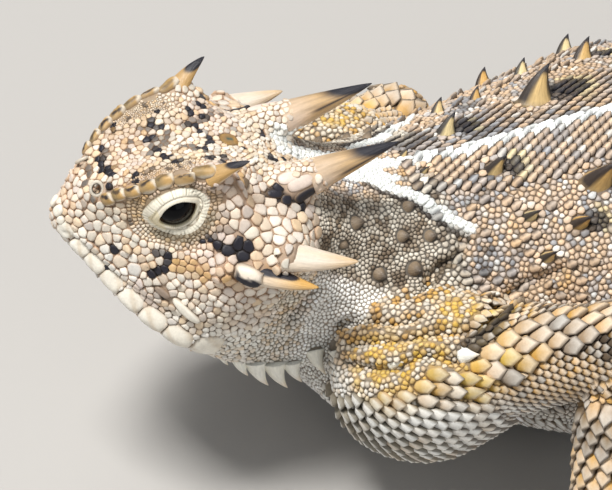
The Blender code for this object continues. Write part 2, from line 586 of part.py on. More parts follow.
def limb(kind, side):
    """The parts of one limb, the root that the torso holds, and the room that the torso leaves for it."""
    joints, radii, held, heading = LIMBS[kind, side]
    first, middle, last = (np.array(joint, float) for joint in joints)
    names = [f"{name}_{SIDE_NAMES[side]}" for name in LIMB_NAMES[kind]]
    upper, lower = (middle - first), (last - middle)
    upper_way, lower_way = upper / np.linalg.norm(upper), lower / np.linalg.norm(lower)
    shares = np.linspace(*LIMB_STEPS, 5)[:, None]
    sizes = (*(radii[0] * share for share in SWELL_SHARES), radii[1] * MUSCLE[kind], radii[1])
    swell = np.interp(shares[:, 0], LIMB_SWELL, sizes)
    bone = tube(first + shares * upper, swell)
    combine(bone, [ball(middle, (radii[1],) * 3)], "UNION")
    cut = first + held * upper
    beside = np.interp((held, (1 + held) / 2, 1), shares[:, 0], swell) + GAP
    room = tube([cut - upper_way * 0.05, (cut + middle) / 2, middle], beside)
    combine(room, [ball(middle, (radii[1] + GAP,) * 3)], "UNION")
    meet = middle + lower_way * radii[1] * BEND_MEET
    node = bone.copy()
    node.data = bone.data.copy()
    bpy.context.scene.collection.objects.link(node)
    sliced(node, cut + upper_way * GAP, -upper_way)
    sliced(node, meet, lower_way)
    part_names = LIMB_NAMES[kind]
    combine(node, limb_pieces(part_names[0], side, cut, middle, beside - GAP), "UNION")
    node.name = node.data.name = names[0]
    sliced(bone, cut, upper_way)
    root = bulge(kind, first, upper_way, 0)
    combine(root, [bone], "UNION")

    start = meet + lower_way * GAP
    end = last - lower_way * WRIST_MEET
    sizes = (*(radii[1] * share for share in FORE_SWELL), radii[2])
    sizes = np.interp(np.linspace(0, 1, 5), FORE_MARKS, sizes)
    fore = tube(start + (shares - shares[0]) / (1 - shares[0]) * (end - start), sizes)
    combine(fore, limb_pieces(part_names[1], side, start, end, sizes), "UNION")
    fore.name = fore.data.name = names[1]

    foot = hand(kind, side, last, radii[2], heading)
    ankle = tube([start, (start + end) / 2, end + lower_way * GAP], sizes[::2] + GAP)
    combine(foot, [ankle], "DIFFERENCE")
    sliced(foot, (0, 0, 0), (0, 0, -1))
    foot.name = foot.data.name = names[2]
    return root, room, [node, fore, foot]


def hand(kind, side, wrist, radius, heading):
    """A foot with five toes and their claws, from a ball at the wrist."""
    turn = math.radians(heading)
    ahead = np.array((side * math.sin(turn), -math.cos(turn), 0))
    length, width, height = PALM[kind]
    middle = np.array((wrist[0], wrist[1], height * PALM_LEVEL)) + ahead * length * PALM_AHEAD
    path = [middle + ahead * length * place for place, _ in PALM_PROFILE]
    palm = tube(path, [width * share for _, share in PALM_PROFILE], PALM_SIDES, height / width)
    pieces = [ball(wrist, (radius * WRIST_SWELL,) * 3, WRIST_FACES)]
    for angle, reach in zip(TOE_ANGLES[kind], TOE_LENGTHS[kind]):
        angle = turn + math.radians(angle)
        way = np.array((side * math.sin(angle), -math.cos(angle), 0))
        root = middle + ahead * length * TOE_ROOT + way * width * TOE_ROOT
        knuckle, end = root + way * reach * 0.5, root + way * (reach + TOE_OVERLAP)
        root[2], knuckle[2], end[2] = TOE_HEIGHTS
        pieces.append(tube([root, knuckle, end], [TOE_RADIUS * share for share in TOE_TAPER], TOE_SIDES))
        base, tip = end - way * CLAW_HELD, end + way * CLAW
        base[2], tip[2] = CLAW_HEIGHTS
        pieces.append(cone(base, tip, CLAW_RADIUS, CLAW_SIDES))
    combine(palm, pieces, "UNION")
    return palm


def finish(made, coat):
    """Gives a part its material and smooth curves, and hangs it from the empty that moves the body."""
    made.data.materials.clear()
    made.data.materials.append(coat)
    made.data.shade_smooth()
    made.data.set_sharp_from_angle(angle=math.radians(SHARP_ANGLE))
    made.parent = body
    lizard.objects.link(made)
    bpy.context.scene.collection.objects.unlink(made)


skin = material("skin", SKIN_COLOUR, 0.75)
horn_coat = material("horn", HORN_COLOUR, 0.5)
eye_coat = material("eye", EYE_COLOUR, 0.1)

lizard = bpy.data.collections.new("horned_lizard")
bpy.context.scene.collection.children.link(lizard)
body = bpy.data.objects.new("body_place", None)
body.location = -Vector(MIDDLE) * MM
lizard.objects.link(body)

rings = head_rings(np.linspace(0, 1, HEAD_RINGS))
middle = rings[0].mean(axis=0)
nose = middle + NOSE_CAP[0] * (rings[0] - middle) + HEAD_TURN @ np.array((0, -NOSE_CAP[1], 0))
head = loft("head", np.concatenate([nose[None], rings]))
turns = np.arange(TRUNK_SIDES) / TRUNK_SIDES
angles = 2 * math.pi * turns
neck = loft("neck", grid(neck_points, np.linspace(GAP / NECK_LENGTH, 1, NECK_RINGS), turns))
torso = loft("torso", grid(trunk_points, np.linspace(NECK_END + GAP, TAIL_START, TORSO_RINGS), angles))
tail = loft("tail", grid(trunk_points, np.linspace(TAIL_START + GAP, TAIL_END, TAIL_RINGS), angles[::2]))

limbs, roots, rooms = [], [], []
for kind, side in LIMBS:
    root, room, parts = limb(kind, side)
    roots.append(root)
    rooms.append(room)
    limbs += parts
combine(torso, rooms, "DIFFERENCE")
rooms = [ball(CHEST, [size + GAP for size in CHEST_SIZE], CHEST_FACES)]
for side in (LEFT, RIGHT):
    first, middle = (np.array(joint) for joint in LIMBS["arm", side][0][:2])
    rooms.append(bulge("arm", first, (middle - first) / np.linalg.norm(middle - first), GAP))
combine(neck, neck_pieces(LEFT) + neck_pieces(RIGHT), "UNION")
combine(neck, rooms, "DIFFERENCE")
combine(torso, roots + [ball(CHEST, CHEST_SIZE, CHEST_FACES)], "UNION")
for made, pieces in ((torso, torso_pieces), (tail, tail_pieces)):
    combine(made, pieces(LEFT) + pieces(RIGHT), "UNION")

horns, bosses, pits, eyes = [], [], [], []
for side in (LEFT, RIGHT):
    for name, (root, tip, radius, held) in HORNS.items():
        root, tip = both_sides(root, side), both_sides(tip, side)
        way = (tip - root) / np.linalg.norm(tip - root)
        cut = root + held * (tip - root)
        boss = cone(root - way, tip, radius * BOSS_SWELL, HORN_SIDES)
        horn = cone(root, tip, radius, HORN_SIDES)
        sliced(boss, cut, way)
        sliced(horn, cut + way * GAP, -way)
        horn.name = horn.data.name = f"{name}_{SIDE_NAMES[side]}"
        horns.append(horn)
        bosses.append(boss)
    root, tip, radius = TEMPORAL_HORN_1
    bosses.append(cone(both_sides(root, side), both_sides(tip, side), radius, SMALL_HORN_SIDES))
    bosses.append(ball(both_sides(EYE, side), (EYE_RADIUS + GAP + LID_THICKNESS,) * 3, SOCKET_FACES))
combine(head, bosses + head_pieces(LEFT) + head_pieces(RIGHT), "UNION")

for side in (LEFT, RIGHT):
    eye = ball(both_sides(EYE, side), (EYE_RADIUS,) * 3, EYE_FACES)
    eye.name = eye.data.name = f"eye_{SIDE_NAMES[side]}"
    eyes.append(eye)
    pits.append(ball(both_sides(EYE, side), (EYE_RADIUS + GAP,) * 3, EYE_FACES))
    tilt = Matrix(HEAD_TURN.tolist()) @ Matrix.Rotation(math.radians(EYE_SLIT_TILT), 3, "X")
    slit = ball((0, 0, 0), (SLIT_REACH, EYE_SLIT[0] / 2, EYE_SLIT[1] / 2), SLIT_FACES)
    slit.data.transform(tilt.to_4x4())
    outside = both_sides(np.add(EYE, (SLIT_REACH, 0, 0)), side)
    slit.data.transform(Matrix.Translation(Vector(outside) * MM))
    pits.append(slit)
    pits.append(ball(both_sides(NOSTRIL, side), (NOSTRIL_RADIUS,) * 3, PIT_FACES))
    pits.append(ball(both_sides(EAR, side), EAR_RADII, PIT_FACES))
combine(head, pits, "DIFFERENCE")

for made in (head, neck, torso, tail, *limbs):
    finish(made, skin)
for made in horns:
    finish(made, horn_coat)
for made in eyes:
    finish(made, eye_coat)
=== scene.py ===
"""Looks for a life-size model of a Texas horned lizard that stands with its head raised.

Lengths are millimetres in the lizard's own frame, with the snout near y = 0, the tail along +y and
the animal's left at +x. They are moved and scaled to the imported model's frame as each mesh is made.
"""

import math

import bpy
import numpy as np
from mathutils import Matrix, Vector
from mathutils.bvhtree import BVHTree
from mathutils.kdtree import KDTree


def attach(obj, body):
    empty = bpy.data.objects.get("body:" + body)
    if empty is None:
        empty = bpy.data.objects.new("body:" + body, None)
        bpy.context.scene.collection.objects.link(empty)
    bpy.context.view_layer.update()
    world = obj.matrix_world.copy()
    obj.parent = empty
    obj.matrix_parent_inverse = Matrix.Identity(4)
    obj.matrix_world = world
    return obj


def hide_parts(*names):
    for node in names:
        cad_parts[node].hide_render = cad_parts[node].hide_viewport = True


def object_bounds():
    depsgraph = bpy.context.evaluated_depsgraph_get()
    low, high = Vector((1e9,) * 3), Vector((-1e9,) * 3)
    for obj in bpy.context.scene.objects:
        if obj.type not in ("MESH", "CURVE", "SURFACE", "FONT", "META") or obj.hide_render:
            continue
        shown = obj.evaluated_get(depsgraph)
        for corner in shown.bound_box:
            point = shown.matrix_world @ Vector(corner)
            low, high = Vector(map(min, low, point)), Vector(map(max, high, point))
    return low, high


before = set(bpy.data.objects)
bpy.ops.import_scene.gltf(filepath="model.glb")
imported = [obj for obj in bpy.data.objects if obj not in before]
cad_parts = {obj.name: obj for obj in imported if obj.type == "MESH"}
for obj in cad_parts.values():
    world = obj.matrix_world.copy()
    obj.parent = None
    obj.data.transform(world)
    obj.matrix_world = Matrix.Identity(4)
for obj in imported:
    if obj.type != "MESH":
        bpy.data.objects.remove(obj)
cad_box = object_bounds()

# The body under the scales: one closed skin over the head, neck, trunk, tail, limbs and toes.
# It is lofted from the same rails and tables as the solids, fused on a fine grid, smoothed, and
# drawn in by the depth of the scales. The eye sockets, nostrils and mouth are pressed into it.
MM = 0.001
MIDDLE = np.array((-0.5, 66.0, 0.0))
LEFT, RIGHT = 1, -1
SIDES = {LEFT: "left", RIGHT: "right"}
SNOUT = (0.2, -0.3, 28.2)
HEAD_YAW, HEAD_PITCH, HEAD_ROLL = 3.5, 12.0, 2.5
HEAD_BACK = 20.5
HEAD_RAILS = {  # half width, back and up from the snout's tip, then how round the head turns there
    "crown": ([(0, 0.5, 1.9), (0, 2.4, 4.5), (0, 5.0, 6.4), (0, 9.0, 8.0), (0, 13.5, 7.8), (0, 17.0, 7.0),
               (0, HEAD_BACK, 5.0)], 1.0),
    "crown side": ([(0.6, 0.5, 1.9), (1.6, 2.4, 4.7), (2.6, 5.0, 6.8), (2.8, 9.0, 8.5), (2.8, 13.0, 8.2),
                    (2.9, 16.5, 7.2), (3.2, HEAD_BACK, 5.0)], 1.0),
    "brow": ([(1.1, 0.8, 1.9), (3.1, 2.8, 4.5), (4.6, 5.0, 6.8), (5.2, 8.4, 9.0), (5.5, 11.4, 9.5),
              (5.6, 14.3, 6.4), (5.8, 17.2, 5.8), (5.6, HEAD_BACK, 3.9)], 0.35),
    "under the brow": ([(1.2, 0.7, 1.5), (3.2, 3.2, 3.6), (4.5, 5.2, 5.4), (5.2, 8.4, 7.6), (5.9, 11.8, 8.0),
                        (7.2, 14.6, 5.6), (7.9, 17.4, 4.9), (6.6, HEAD_BACK, 2.7)], 0.7),
    "eye": ([(1.2, 0.6, 1.2), (3.3, 3.2, 2.4), (4.6, 5.4, 3.4), (5.5, 8.4, 4.8), (7.0, 11.8, 5.0),
             (8.6, 15.0, 4.4), (9.4, 17.6, 3.9), (7.2, HEAD_BACK, 1.6)], 1.0),
    "shelf": ([(1.2, 0.5, 0.9), (3.5, 3.2, 0.8), (5.2, 5.6, 0.8), (7.3, 8.8, 1.2), (9.0, 12.4, 1.6),
               (9.4, 15.4, 1.5), (9.4, 17.8, 2.4), (7.6, HEAD_BACK, 0.4)], 0.6),
    "upper lip": ([(1.0, 0.3, 0.5), (3.2, 2.6, -0.5), (5.0, 4.9, -1.9), (7.2, 7.8, -3.0), (8.9, 10.6, -3.5),
                   (9.2, 14.6, -2.4), (8.7, 17.6, -1.6), (7.7, HEAD_BACK, -1.8)], 0.6),
    "mouth": ([(0.6, 0.6, 0.3), (2.7, 2.8, -0.8), (4.4, 5.1, -2.2), (6.6, 7.9, -3.3), (8.7, 10.5, -3.9),
               (9.1, 14.4, -3.3), (8.4, 17.6, -2.9), (7.7, HEAD_BACK, -2.8)], 0.3),
    "lower lip": ([(0.9, 0.4, 0.1), (3.0, 2.7, -1.1), (4.8, 5.0, -2.5), (6.9, 7.8, -3.6), (8.7, 10.5, -4.3),
                   (9.0, 14.2, -4.2), (8.1, 17.6, -4.2), (7.6, HEAD_BACK, -4.0)], 0.6),
    "jaw edge": ([(0.8, 0.4, -0.3), (2.9, 2.6, -1.9), (4.9, 4.8, -3.7), (7.2, 7.8, -5.5), (8.7, 10.8, -6.5),
                  (8.4, 14.2, -7.0), (7.6, 17.6, -7.4), (7.3, HEAD_BACK, -7.4)], 0.4),
    "throat": ([(0.6, 0.7, -0.9), (1.9, 3.0, -2.9), (3.2, 5.6, -5.0), (4.7, 8.6, -7.3), (5.9, 12.0, -9.1),
                (6.5, 15.6, -10.5), (6.6, HEAD_BACK, -11.2)], 1.0),
    "chin": ([(0, 0.7, -1.1), (0, 3.0, -3.3), (0, 5.6, -5.5), (0, 8.8, -8.0), (0, 12.4, -10.2),
              (0, 16.2, -11.8), (0, HEAD_BACK, -12.6)], 1.0),
}
HEAD_STEPS = (3, 6, 4, 4, 5, 5, 2, 2, 4, 5, 4)
TRUNK = np.array([  # back, half width, top, level of the widest line, underside
    (20.0, 8.4, 29.0, 21.5, 12.0), (25.0, 9.8, 27.0, 17.0, 7.6), (30.0, 12.4, 25.2, 13.0, 4.2),
    (36.0, 15.5, 24.6, 10.6, 2.2), (43.0, 18.4, 24.8, 9.2, 0.9), (52.0, 21.0, 24.8, 8.0, -0.2),
    (61.0, 21.6, 23.6, 7.4, -0.5), (69.0, 18.4, 21.0, 7.0, -0.5), (76.0, 13.4, 17.4, 6.3, -0.4),
    (82.0, 10.0, 13.8, 5.5, -0.3), (88.0, 7.6, 10.8, 4.6, -0.3), (97.0, 5.2, 7.8, 3.4, -0.3),
    (109.0, 3.3, 5.2, 2.3, -0.2), (121.0, 2.0, 3.4, 1.5, -0.2), (132.0, 0.5, 1.5, 0.7, 0.0),
])
NECK_END, TAIL_START, TAIL_END, TAIL_BEND = 30.0, 88.0, 132.0, 9.0
BOX_LOW, BOX_HIGH = (np.array(corner) / MM + MIDDLE for corner in cad_box)
BACK_POWER, BELLY_POWER = 1.25, 0.62
LIMBS = {  # joints from the body outwards, the radius at each, and the way that the foot points
    ("arm", LEFT): ([(11.5, 27.2, 13.0), (21.0, 41.0, 18.6), (24.8, 37.6, 3.6)], (7.3, 3.4, 2.0), 28),
    ("arm", RIGHT): ([(-11.5, 27.2, 13.0), (-20.4, 37.6, 10.6), (-25.4, 29.4, 3.4)], (7.3, 3.4, 2.0), 20),
    ("leg", LEFT): ([(7.5, 81.0, 7.4), (25.0, 77.0, 8.8), (28.0, 90.5, 3.6)], (5.4, 3.6, 2.0), 62),
    ("leg", RIGHT): ([(-7.5, 81.0, 7.4), (-24.6, 75.0, 8.6), (-29.5, 88.0, 3.6)], (5.4, 3.6, 2.0), 55),
}
BULGES = {
    "arm": ((-7.4, 1.5), (-6.4, 3.9), (-4.4, 5.9), (-1.6, 7.1), (1.4, 7.2), (4.4, 6.2), (7.2, 4.9)),
    "leg": ((-5.2, 1.0), (-4.4, 2.8), (-2.8, 4.4), (-0.6, 5.3), (2.0, 5.4), (5.0, 4.9), (8.0, 4.4)),
}
CHEST, CHEST_SIZE = (0, 27.4, 8.6), (12.0, 8.4, 5.6)
TOE_ANGLES = {"arm": (-62, -28, 2, 30, 66), "leg": (-58, -26, 0, 22, 62)}
TOE_LENGTHS = {"arm": (3.2, 4.6, 5.2, 4.8, 3.4), "leg": (2.8, 4.4, 6.0, 7.2, 4.0)}
PALM = {"arm": (3.0, 2.3, 1.5), "leg": (3.8, 2.2, 1.5)}
TOE_RADIUS, CLAW, CLAW_RADIUS = 0.75, 1.9, 0.40
HORNS = {  # root, tip, radius at the root, and the share of it that lies under scales
    "occipital_horn": ((3.6, 17.6, 5.7), (3.6, 26.4, 10.1), 1.85, 0.30),
    "brow_horn": ((5.3, 10.6, 8.6), (6.4, 12.8, 11.0), 0.95, 0.20),
    "temporal_horn_3": ((8.9, 16.8, 3.2), (10.45, 22.3, 3.7), 1.55, 0.10),
    "temporal_horn_2": ((8.8, 14.6, 1.6), (11.7, 18.9, 2.2), 1.35, 0.10),
    "temporal_horn_1": ((8.4, 12.2, 1.5), (9.9, 15.4, 0.8), 1.2, 0.10),
}
EYE, EYE_RADIUS = (3.95, 8.05, 5.4), 2.1
LID_BALL = 2.5  # radius of the skin's bulge over the eye
EYE_OPENING, EYE_TILT = (1.32, 1.26), 31.0  # half length and half height between the lids, degrees
LID_OUTER = (2.5, 2.25)
NOSTRIL, NOSTRIL_RADIUS, NOSTRIL_DEPTH = (1.75, 2.5, 4.6), 0.34, 0.7
SOCKET_DEPTH = 1.9  # how far the skin is pressed in round the eye
MOUTH_SHARE, MOUTH_DEPTH, MOUTH_WIDTH = 0.52, 0.28, 0.42  # of the mouth's rail, and the groove's sizes
FOLD_DEPTH, FOLD_LIP = 0.75, 0.2  # a fold of the neck, and the low lip beside it
COAT_DEPTH, VOXEL = 0.22, 0.4
TRUNK_RINGS, TRUNK_SIDES = 200, 96


def hermite(a, b, slope_a, slope_b, f):
    """The cubic from a to b with the given slopes, at shares f."""
    return (a * (1 - f) ** 2 * (1 + 2 * f) + b * f**2 * (3 - 2 * f)
            + slope_a * f * (1 - f) ** 2 - slope_b * f**2 * (1 - f))


def through(points, shares, knots=None):
    """A smooth curve through points, at shares of its length, or at places on the knots' scale."""
    points = np.asarray(points, float)
    if knots is None:
        knots = np.r_[0, np.cumsum(np.linalg.norm(np.diff(points, axis=0), axis=1))]
        knots = knots / knots[-1]
    slopes = np.gradient(points, knots, axis=0)
    shares = np.asarray(shares, float)
    i = np.clip(np.searchsorted(knots, shares, side="right") - 1, 0, len(knots) - 2)
    span = (knots[i + 1] - knots[i])[..., None]
    f = (shares - knots[i])[..., None] / span
    return hermite(points[i], points[i + 1], slopes[i] * span, slopes[i + 1] * span, f)


def unit(vectors):
    """Vectors made one long."""
    vectors = np.asarray(vectors, float)
    return vectors / np.maximum(np.linalg.norm(vectors, axis=-1, keepdims=True), 1e-9)


def ramp(value, low, high):
    """A smooth step that is 0 up to low and 1 from high on."""
    f = np.clip((np.asarray(value, float) - low) / (high - low), 0, 1)
    return f * f * (3 - 2 * f)


HEAD_TURN = np.array(
    Matrix.Rotation(-math.radians(HEAD_YAW), 3, "Z")
    @ Matrix.Rotation(-math.radians(HEAD_PITCH), 3, "X")
    @ Matrix.Rotation(math.radians(HEAD_ROLL), 3, "Y")
)


def from_head(points):
    """Points of the head's frame in the body's frame."""
    return np.asarray(points, float) @ HEAD_TURN.T + np.array(SNOUT)


def to_head(points):
    """Points of the body's frame in the head's frame."""
    return (np.asarray(points, float) - np.array(SNOUT)) @ HEAD_TURN


def on_side(points, side):
    """Points of the head's left half, or their mirror image, in the body's frame."""
    return from_head(np.asarray(points, float) * (side, 1, 1))


def to_left(points):
    """Points, with those of the right side mirrored onto the left."""
    return points * np.where(points[:, :1] < 0, (-1, 1, 1), (1, 1, 1))


def folded_head(points):
    """Points of the body's frame in the head's frame, all on its left half."""
    return to_left(to_head(points))


def head_rings(shares):
    """Whole rings of the head: cubics across the twelve rails of its left half, then mirrored."""
    rails = np.array([through(points, shares) for points, _ in HEAD_RAILS.values()])
    roundness = np.array([turn for _, turn in HEAD_RAILS.values()])[:, None, None]
    mirrored = rails * (-1, 1, 1)
    padded = np.concatenate([mirrored[1:2], rails, mirrored[-2:-1]])
    slopes = (padded[2:] - padded[:-2]) / 2 * roundness
    lines = [
        hermite(rails[j], rails[j + 1], slopes[j], slopes[j + 1], f)
        for j, steps in enumerate(HEAD_STEPS)
        for f in np.arange(steps) / steps
    ]
    half = np.array([*lines, rails[-1]])
    ring = np.concatenate([half, half[-2:0:-1] * (-1, 1, 1)])
    return from_head(ring.transpose(1, 0, 2))


def trunk_points(back, turn):
    """Points of the trunk. The turn runs from the middle of the back, 0, down the left side to 1."""
    width, top, level, under = np.moveaxis(through(TRUNK[:, 1:], back, TRUNK[:, 0]), -1, 0)
    aside = -TAIL_BEND * np.clip((back - TAIL_START) / (TAIL_END - TAIL_START), 0, 1) ** 2
    across, up = np.sin(2 * math.pi * turn), np.cos(2 * math.pi * turn)
    above = np.abs(up) ** BACK_POWER * (top - level)
    below = -(np.abs(up) ** BELLY_POWER) * (level - under)
    height = np.maximum(level + np.where(up > 0, above, below), 0)
    return np.stack([aside + width * across, back + 0 * across, height], axis=-1)


NECK_RINGS = head_rings(np.array([0.9, 1.0]))


def neck_points(share, turn):
    """Points of the neck, from the head's last ring to the trunk's first one."""
    count = len(NECK_RINGS[1])
    lengths = np.linalg.norm(np.diff(NECK_RINGS[1], axis=0, append=NECK_RINGS[1][:1]), axis=1)
    marks = np.arange(count + 1) / count
    travelled = np.r_[0, np.cumsum(lengths)] / lengths.sum()
    around = np.interp(np.mod(turn, 1), marks, travelled)

    def at(values):
        """Values of a ring's points, read between them at the turn."""
        closed = np.concatenate([values, values[:1]])
        return np.stack([np.interp(np.mod(turn, 1), marks, closed[:, k]) for k in range(3)], axis=-1)

    start, leave = at(NECK_RINGS[1]), at(NECK_RINGS[1] - NECK_RINGS[0]) / (0.1 * HEAD_BACK)
    end = trunk_points(NECK_END + 0 * around, around)
    ahead, behind = (trunk_points(NECK_END + step + 0 * around, around) for step in (1, -1))
    arrive = (ahead - behind) / 2
    span = np.linalg.norm(end - start, axis=-1, keepdims=True)
    return hermite(start, end, leave * span, arrive * span, np.asarray(share, float)[..., None])


def tube_points(path, radii, sides, flat=1.0):
    """Rings round a path. They turn from its outer side over the top."""
    path = np.asarray(path, float)
    along = unit(np.gradient(path, axis=0))
    across = unit(np.cross(along, (0, 0, 1)))
    up = np.cross(across, along)
    turn = (np.arange(sides) / sides * 2 * math.pi)[None, :, None]
    radii = np.asarray(radii, float)[:, None, None]
    return path[:, None] + radii * (np.cos(turn) * across[:, None] + flat * np.sin(turn) * up[:, None])


def ball_points(centre, radii, rings=14, sides=20):
    """Rings of an ellipsoid from pole to pole."""
    down = np.linspace(0.02, math.pi - 0.02, rings)[:, None]
    turn = np.linspace(0, 2 * math.pi, sides, endpoint=False)[None]
    shape = np.stack([np.sin(down) * np.cos(turn), np.sin(down) * np.sin(turn), np.cos(down) + 0 * turn], -1)
    return np.array(centre) + shape * np.array(radii)


parts = {}  # every piece of the flesh as rings of points, by name
parts["head"] = head_rings(np.linspace(0, 1, 90))
first = parts["head"][0]
nose = [first.mean(axis=0) + scale * (first - first.mean(axis=0)) + HEAD_TURN @ (0, lift, 0)
        for scale, lift in ((0.02, -0.55), (0.3, -0.52), (0.6, -0.42), (0.85, -0.22))]
parts["head"] = np.concatenate([nose, parts["head"]])
turns = np.arange(TRUNK_SIDES) / TRUNK_SIDES
parts["neck"] = neck_points(*np.meshgrid(np.linspace(0, 1, 30), turns, indexing="ij"))
trunk_rows = np.linspace(NECK_END, TAIL_END, TRUNK_RINGS)
parts["trunk"] = trunk_points(*np.meshgrid(trunk_rows, turns, indexing="ij"))
parts["chest"] = ball_points(CHEST, CHEST_SIZE)
for (kind, side), (joints, radii, heading) in LIMBS.items():
    first, middle, last = (np.array(joint, float) for joint in joints)
    upper, lower = unit(middle - first), unit(last - middle)
    swell = radii[1] * (1.2 if kind == "leg" else 1.12)
    label = f"{kind} {SIDES[side]}"
    bulge = np.array(BULGES[kind])
    bulge_steps = np.linspace(0, 1, 24)
    bulge = through(bulge, bulge_steps)
    parts[f"{label} bulge"] = tube_points(first + bulge[:, :1] * upper, bulge[:, 1], 32)
    shares = np.linspace(0.35, 1, 24)
    parts[f"{label} upper"] = tube_points(
        first + shares[:, None] * (middle - first),
        np.interp(shares, (0.35, 0.7, 1), (radii[0] * 0.66, swell, radii[1])), 28)
    parts[f"{label} bend"] = ball_points(middle, (radii[1],) * 3)
    shares = np.linspace(0, 1, 24)
    parts[f"{label} lower"] = tube_points(
        middle + shares[:, None] * (last - middle),
        np.interp(shares, (0, 0.3, 1), (radii[1] * 0.86, radii[1] * 0.94, radii[2])), 24)
    parts[f"{label} wrist"] = ball_points(last, (radii[2] * 1.02,) * 3)
    turn = math.radians(heading)
    ahead = np.array((side * math.sin(turn), -math.cos(turn), 0))
    length, width, height = PALM[kind]
    palm = np.array((last[0], last[1], height * 0.9)) + ahead * length * 0.7
    steps = np.linspace(-1, 1, 12)
    parts[f"{label} palm"] = tube_points(
        palm + steps[:, None] * ahead * length,
        width * np.interp(steps, (-1, -0.6, 0, 0.7, 1), (0.5, 0.85, 1, 0.9, 0.5)), 20, height / width)
    for number, (angle, reach) in enumerate(zip(TOE_ANGLES[kind], TOE_LENGTHS[kind])):
        angle = turn + math.radians(angle)
        way = np.array((side * math.sin(angle), -math.cos(angle), 0))
        root = palm + ahead * length * 0.35 + way * width * 0.35
        spots = np.array([root, root + way * reach * 0.5, root + way * (reach + 0.4)])
        spots[:, 2] = 1.0, 1.3, 0.62
        steps = np.linspace(0, 1, 14)
        parts[f"{label} toe {number}"] = tube_points(
            through(spots, steps), TOE_RADIUS * np.interp(steps, (0, 0.5, 0.92, 1), (1.1, 1, 0.8, 0.4)), 14)
for side in (LEFT, RIGHT):
    parts[f"lids {SIDES[side]}"] = ball_points(on_side(EYE, side), (LID_BALL + 0.22,) * 3, 20, 28)
    for name, (root, tip, radius, held) in HORNS.items():
        root, tip = on_side(root, side), on_side(tip, side)
        steps = np.linspace(-1 / np.linalg.norm(tip - root), held + 0.04, 8)
        parts[f"{name} {SIDES[side]}"] = tube_points(
            root + steps[:, None] * (tip - root), radius * 1.1 * (1 - np.clip(steps, 0, 1)), 20)


def ring_faces(rows, sides, start=0):
    """Faces of a grid of rings that close round, counted from a first point."""
    here = start + np.arange(rows * sides).reshape(rows, sides)
    after = np.roll(here, -1, axis=1)
    return np.stack([here[:-1], after[:-1], after[1:], here[1:]], axis=-1).reshape(-1, 4)


def closed_faces(count, rows, sides, inward=False):
    """Faces of like shapes, each of rings that close round, a face under them and a last point on top."""
    last = (rows - 1) * sides + np.arange(sides)
    top = np.stack([last, np.roll(last, -1), np.full(sides, rows * sides)], -1)
    start = (np.arange(count) * (rows * sides + 1))[:, None, None]
    kinds = [ring_faces(rows, sides), top, np.arange(sides)[::-1][None]]
    return [(start + (faces[:, ::-1] if inward else faces)).reshape(-1, faces.shape[1]) for faces in kinds]


def make_mesh(name, points, polygons, colours=None, values=None, corners=None, smooth=True):
    """A mesh object from points in millimetres and arrays of faces, with each point's colours and values."""
    points = points if name == "rough" else np.clip(points, BOX_LOW, BOX_HIGH)
    mesh = bpy.data.meshes.new(name)
    mesh.vertices.add(len(points))
    mesh.vertices.foreach_set("co", ((points - MIDDLE) * MM).astype(np.float32).ravel())
    loops = np.concatenate([faces.ravel() for faces in polygons]).astype(np.int32)
    totals = np.concatenate([np.full(len(faces), faces.shape[1]) for faces in polygons])
    mesh.loops.add(len(loops))
    mesh.loops.foreach_set("vertex_index", loops)
    mesh.polygons.add(len(totals))
    mesh.polygons.foreach_set("loop_start", np.r_[0, np.cumsum(totals)[:-1]].astype(np.int32))
    mesh.update(calc_edges=True)
    if smooth:
        mesh.shade_smooth()
    for label, value in (colours or {}).items():
        layer = mesh.attributes.new(label, "FLOAT_COLOR", "POINT")
        layer.data.foreach_set("color", np.c_[value, np.ones(len(value))].astype(np.float32).ravel())
    for label, value in (values or {}).items():
        layer = mesh.attributes.new(label, "FLOAT", "POINT")
        layer.data.foreach_set("value", np.asarray(value, np.float32))
    if corners is not None:
        layer = mesh.uv_layers.new(name="OFBake")
        layer.data.foreach_set("uv", corners[loops].astype(np.float32).ravel())
    made = bpy.data.objects.new(name, mesh)
    bpy.context.scene.collection.objects.link(made)
    return made


def fused(parts):
    """All pieces of the flesh joined on a grid of voxels, as points and four-sided faces."""
    points, polygons, start = [], [], 0
    for rings in parts.values():
        rows, sides = rings.shape[:2]
        polygons.append(ring_faces(rows, sides, start))
        first = start + np.arange(sides)
        final = start + (rows - 1) * sides + np.arange(sides)
        hub = start + rows * sides
        polygons.append(np.stack([np.roll(first, -1), first, np.full(sides, hub)], -1)[:, [0, 1, 2, 2]])
        polygons.append(np.stack([final, np.roll(final, -1), np.full(sides, hub + 1)], -1)[:, [0, 1, 2, 2]])
        points += [rings.reshape(-1, 3), rings[:1].mean(axis=1), rings[-1:].mean(axis=1)]
        start += rows * sides + 2
    polygons = [faces if len(set(faces[0])) == 4 else faces[:, :3] for faces in polygons]
    rough = make_mesh("rough", np.concatenate(points), polygons)
    remesh = rough.modifiers.new("fuse", "REMESH")
    remesh.mode, remesh.voxel_size = "VOXEL", VOXEL * MM
    graph = bpy.context.evaluated_depsgraph_get()
    mesh = bpy.data.meshes.new_from_object(rough.evaluated_get(graph))
    found = np.empty(len(mesh.vertices) * 3, np.float32)
    mesh.vertices.foreach_get("co", found)
    faces = np.empty(len(mesh.loops), np.int32)
    mesh.loops.foreach_get("vertex_index", faces)
    bpy.data.objects.remove(rough)
    return found.reshape(-1, 3).astype(float) / MM + MIDDLE, faces.reshape(-1, 4)


def facings(points, faces):
    """The way that the surface faces at each point."""
    normal = np.cross(points[faces[:, 2]] - points[faces[:, 0]], points[faces[:, 3]] - points[faces[:, 1]])
    total = np.stack([
        np.bincount(faces.ravel(), np.repeat(normal[:, k], 4), len(points)) for k in range(3)], axis=-1)
    return unit(total)


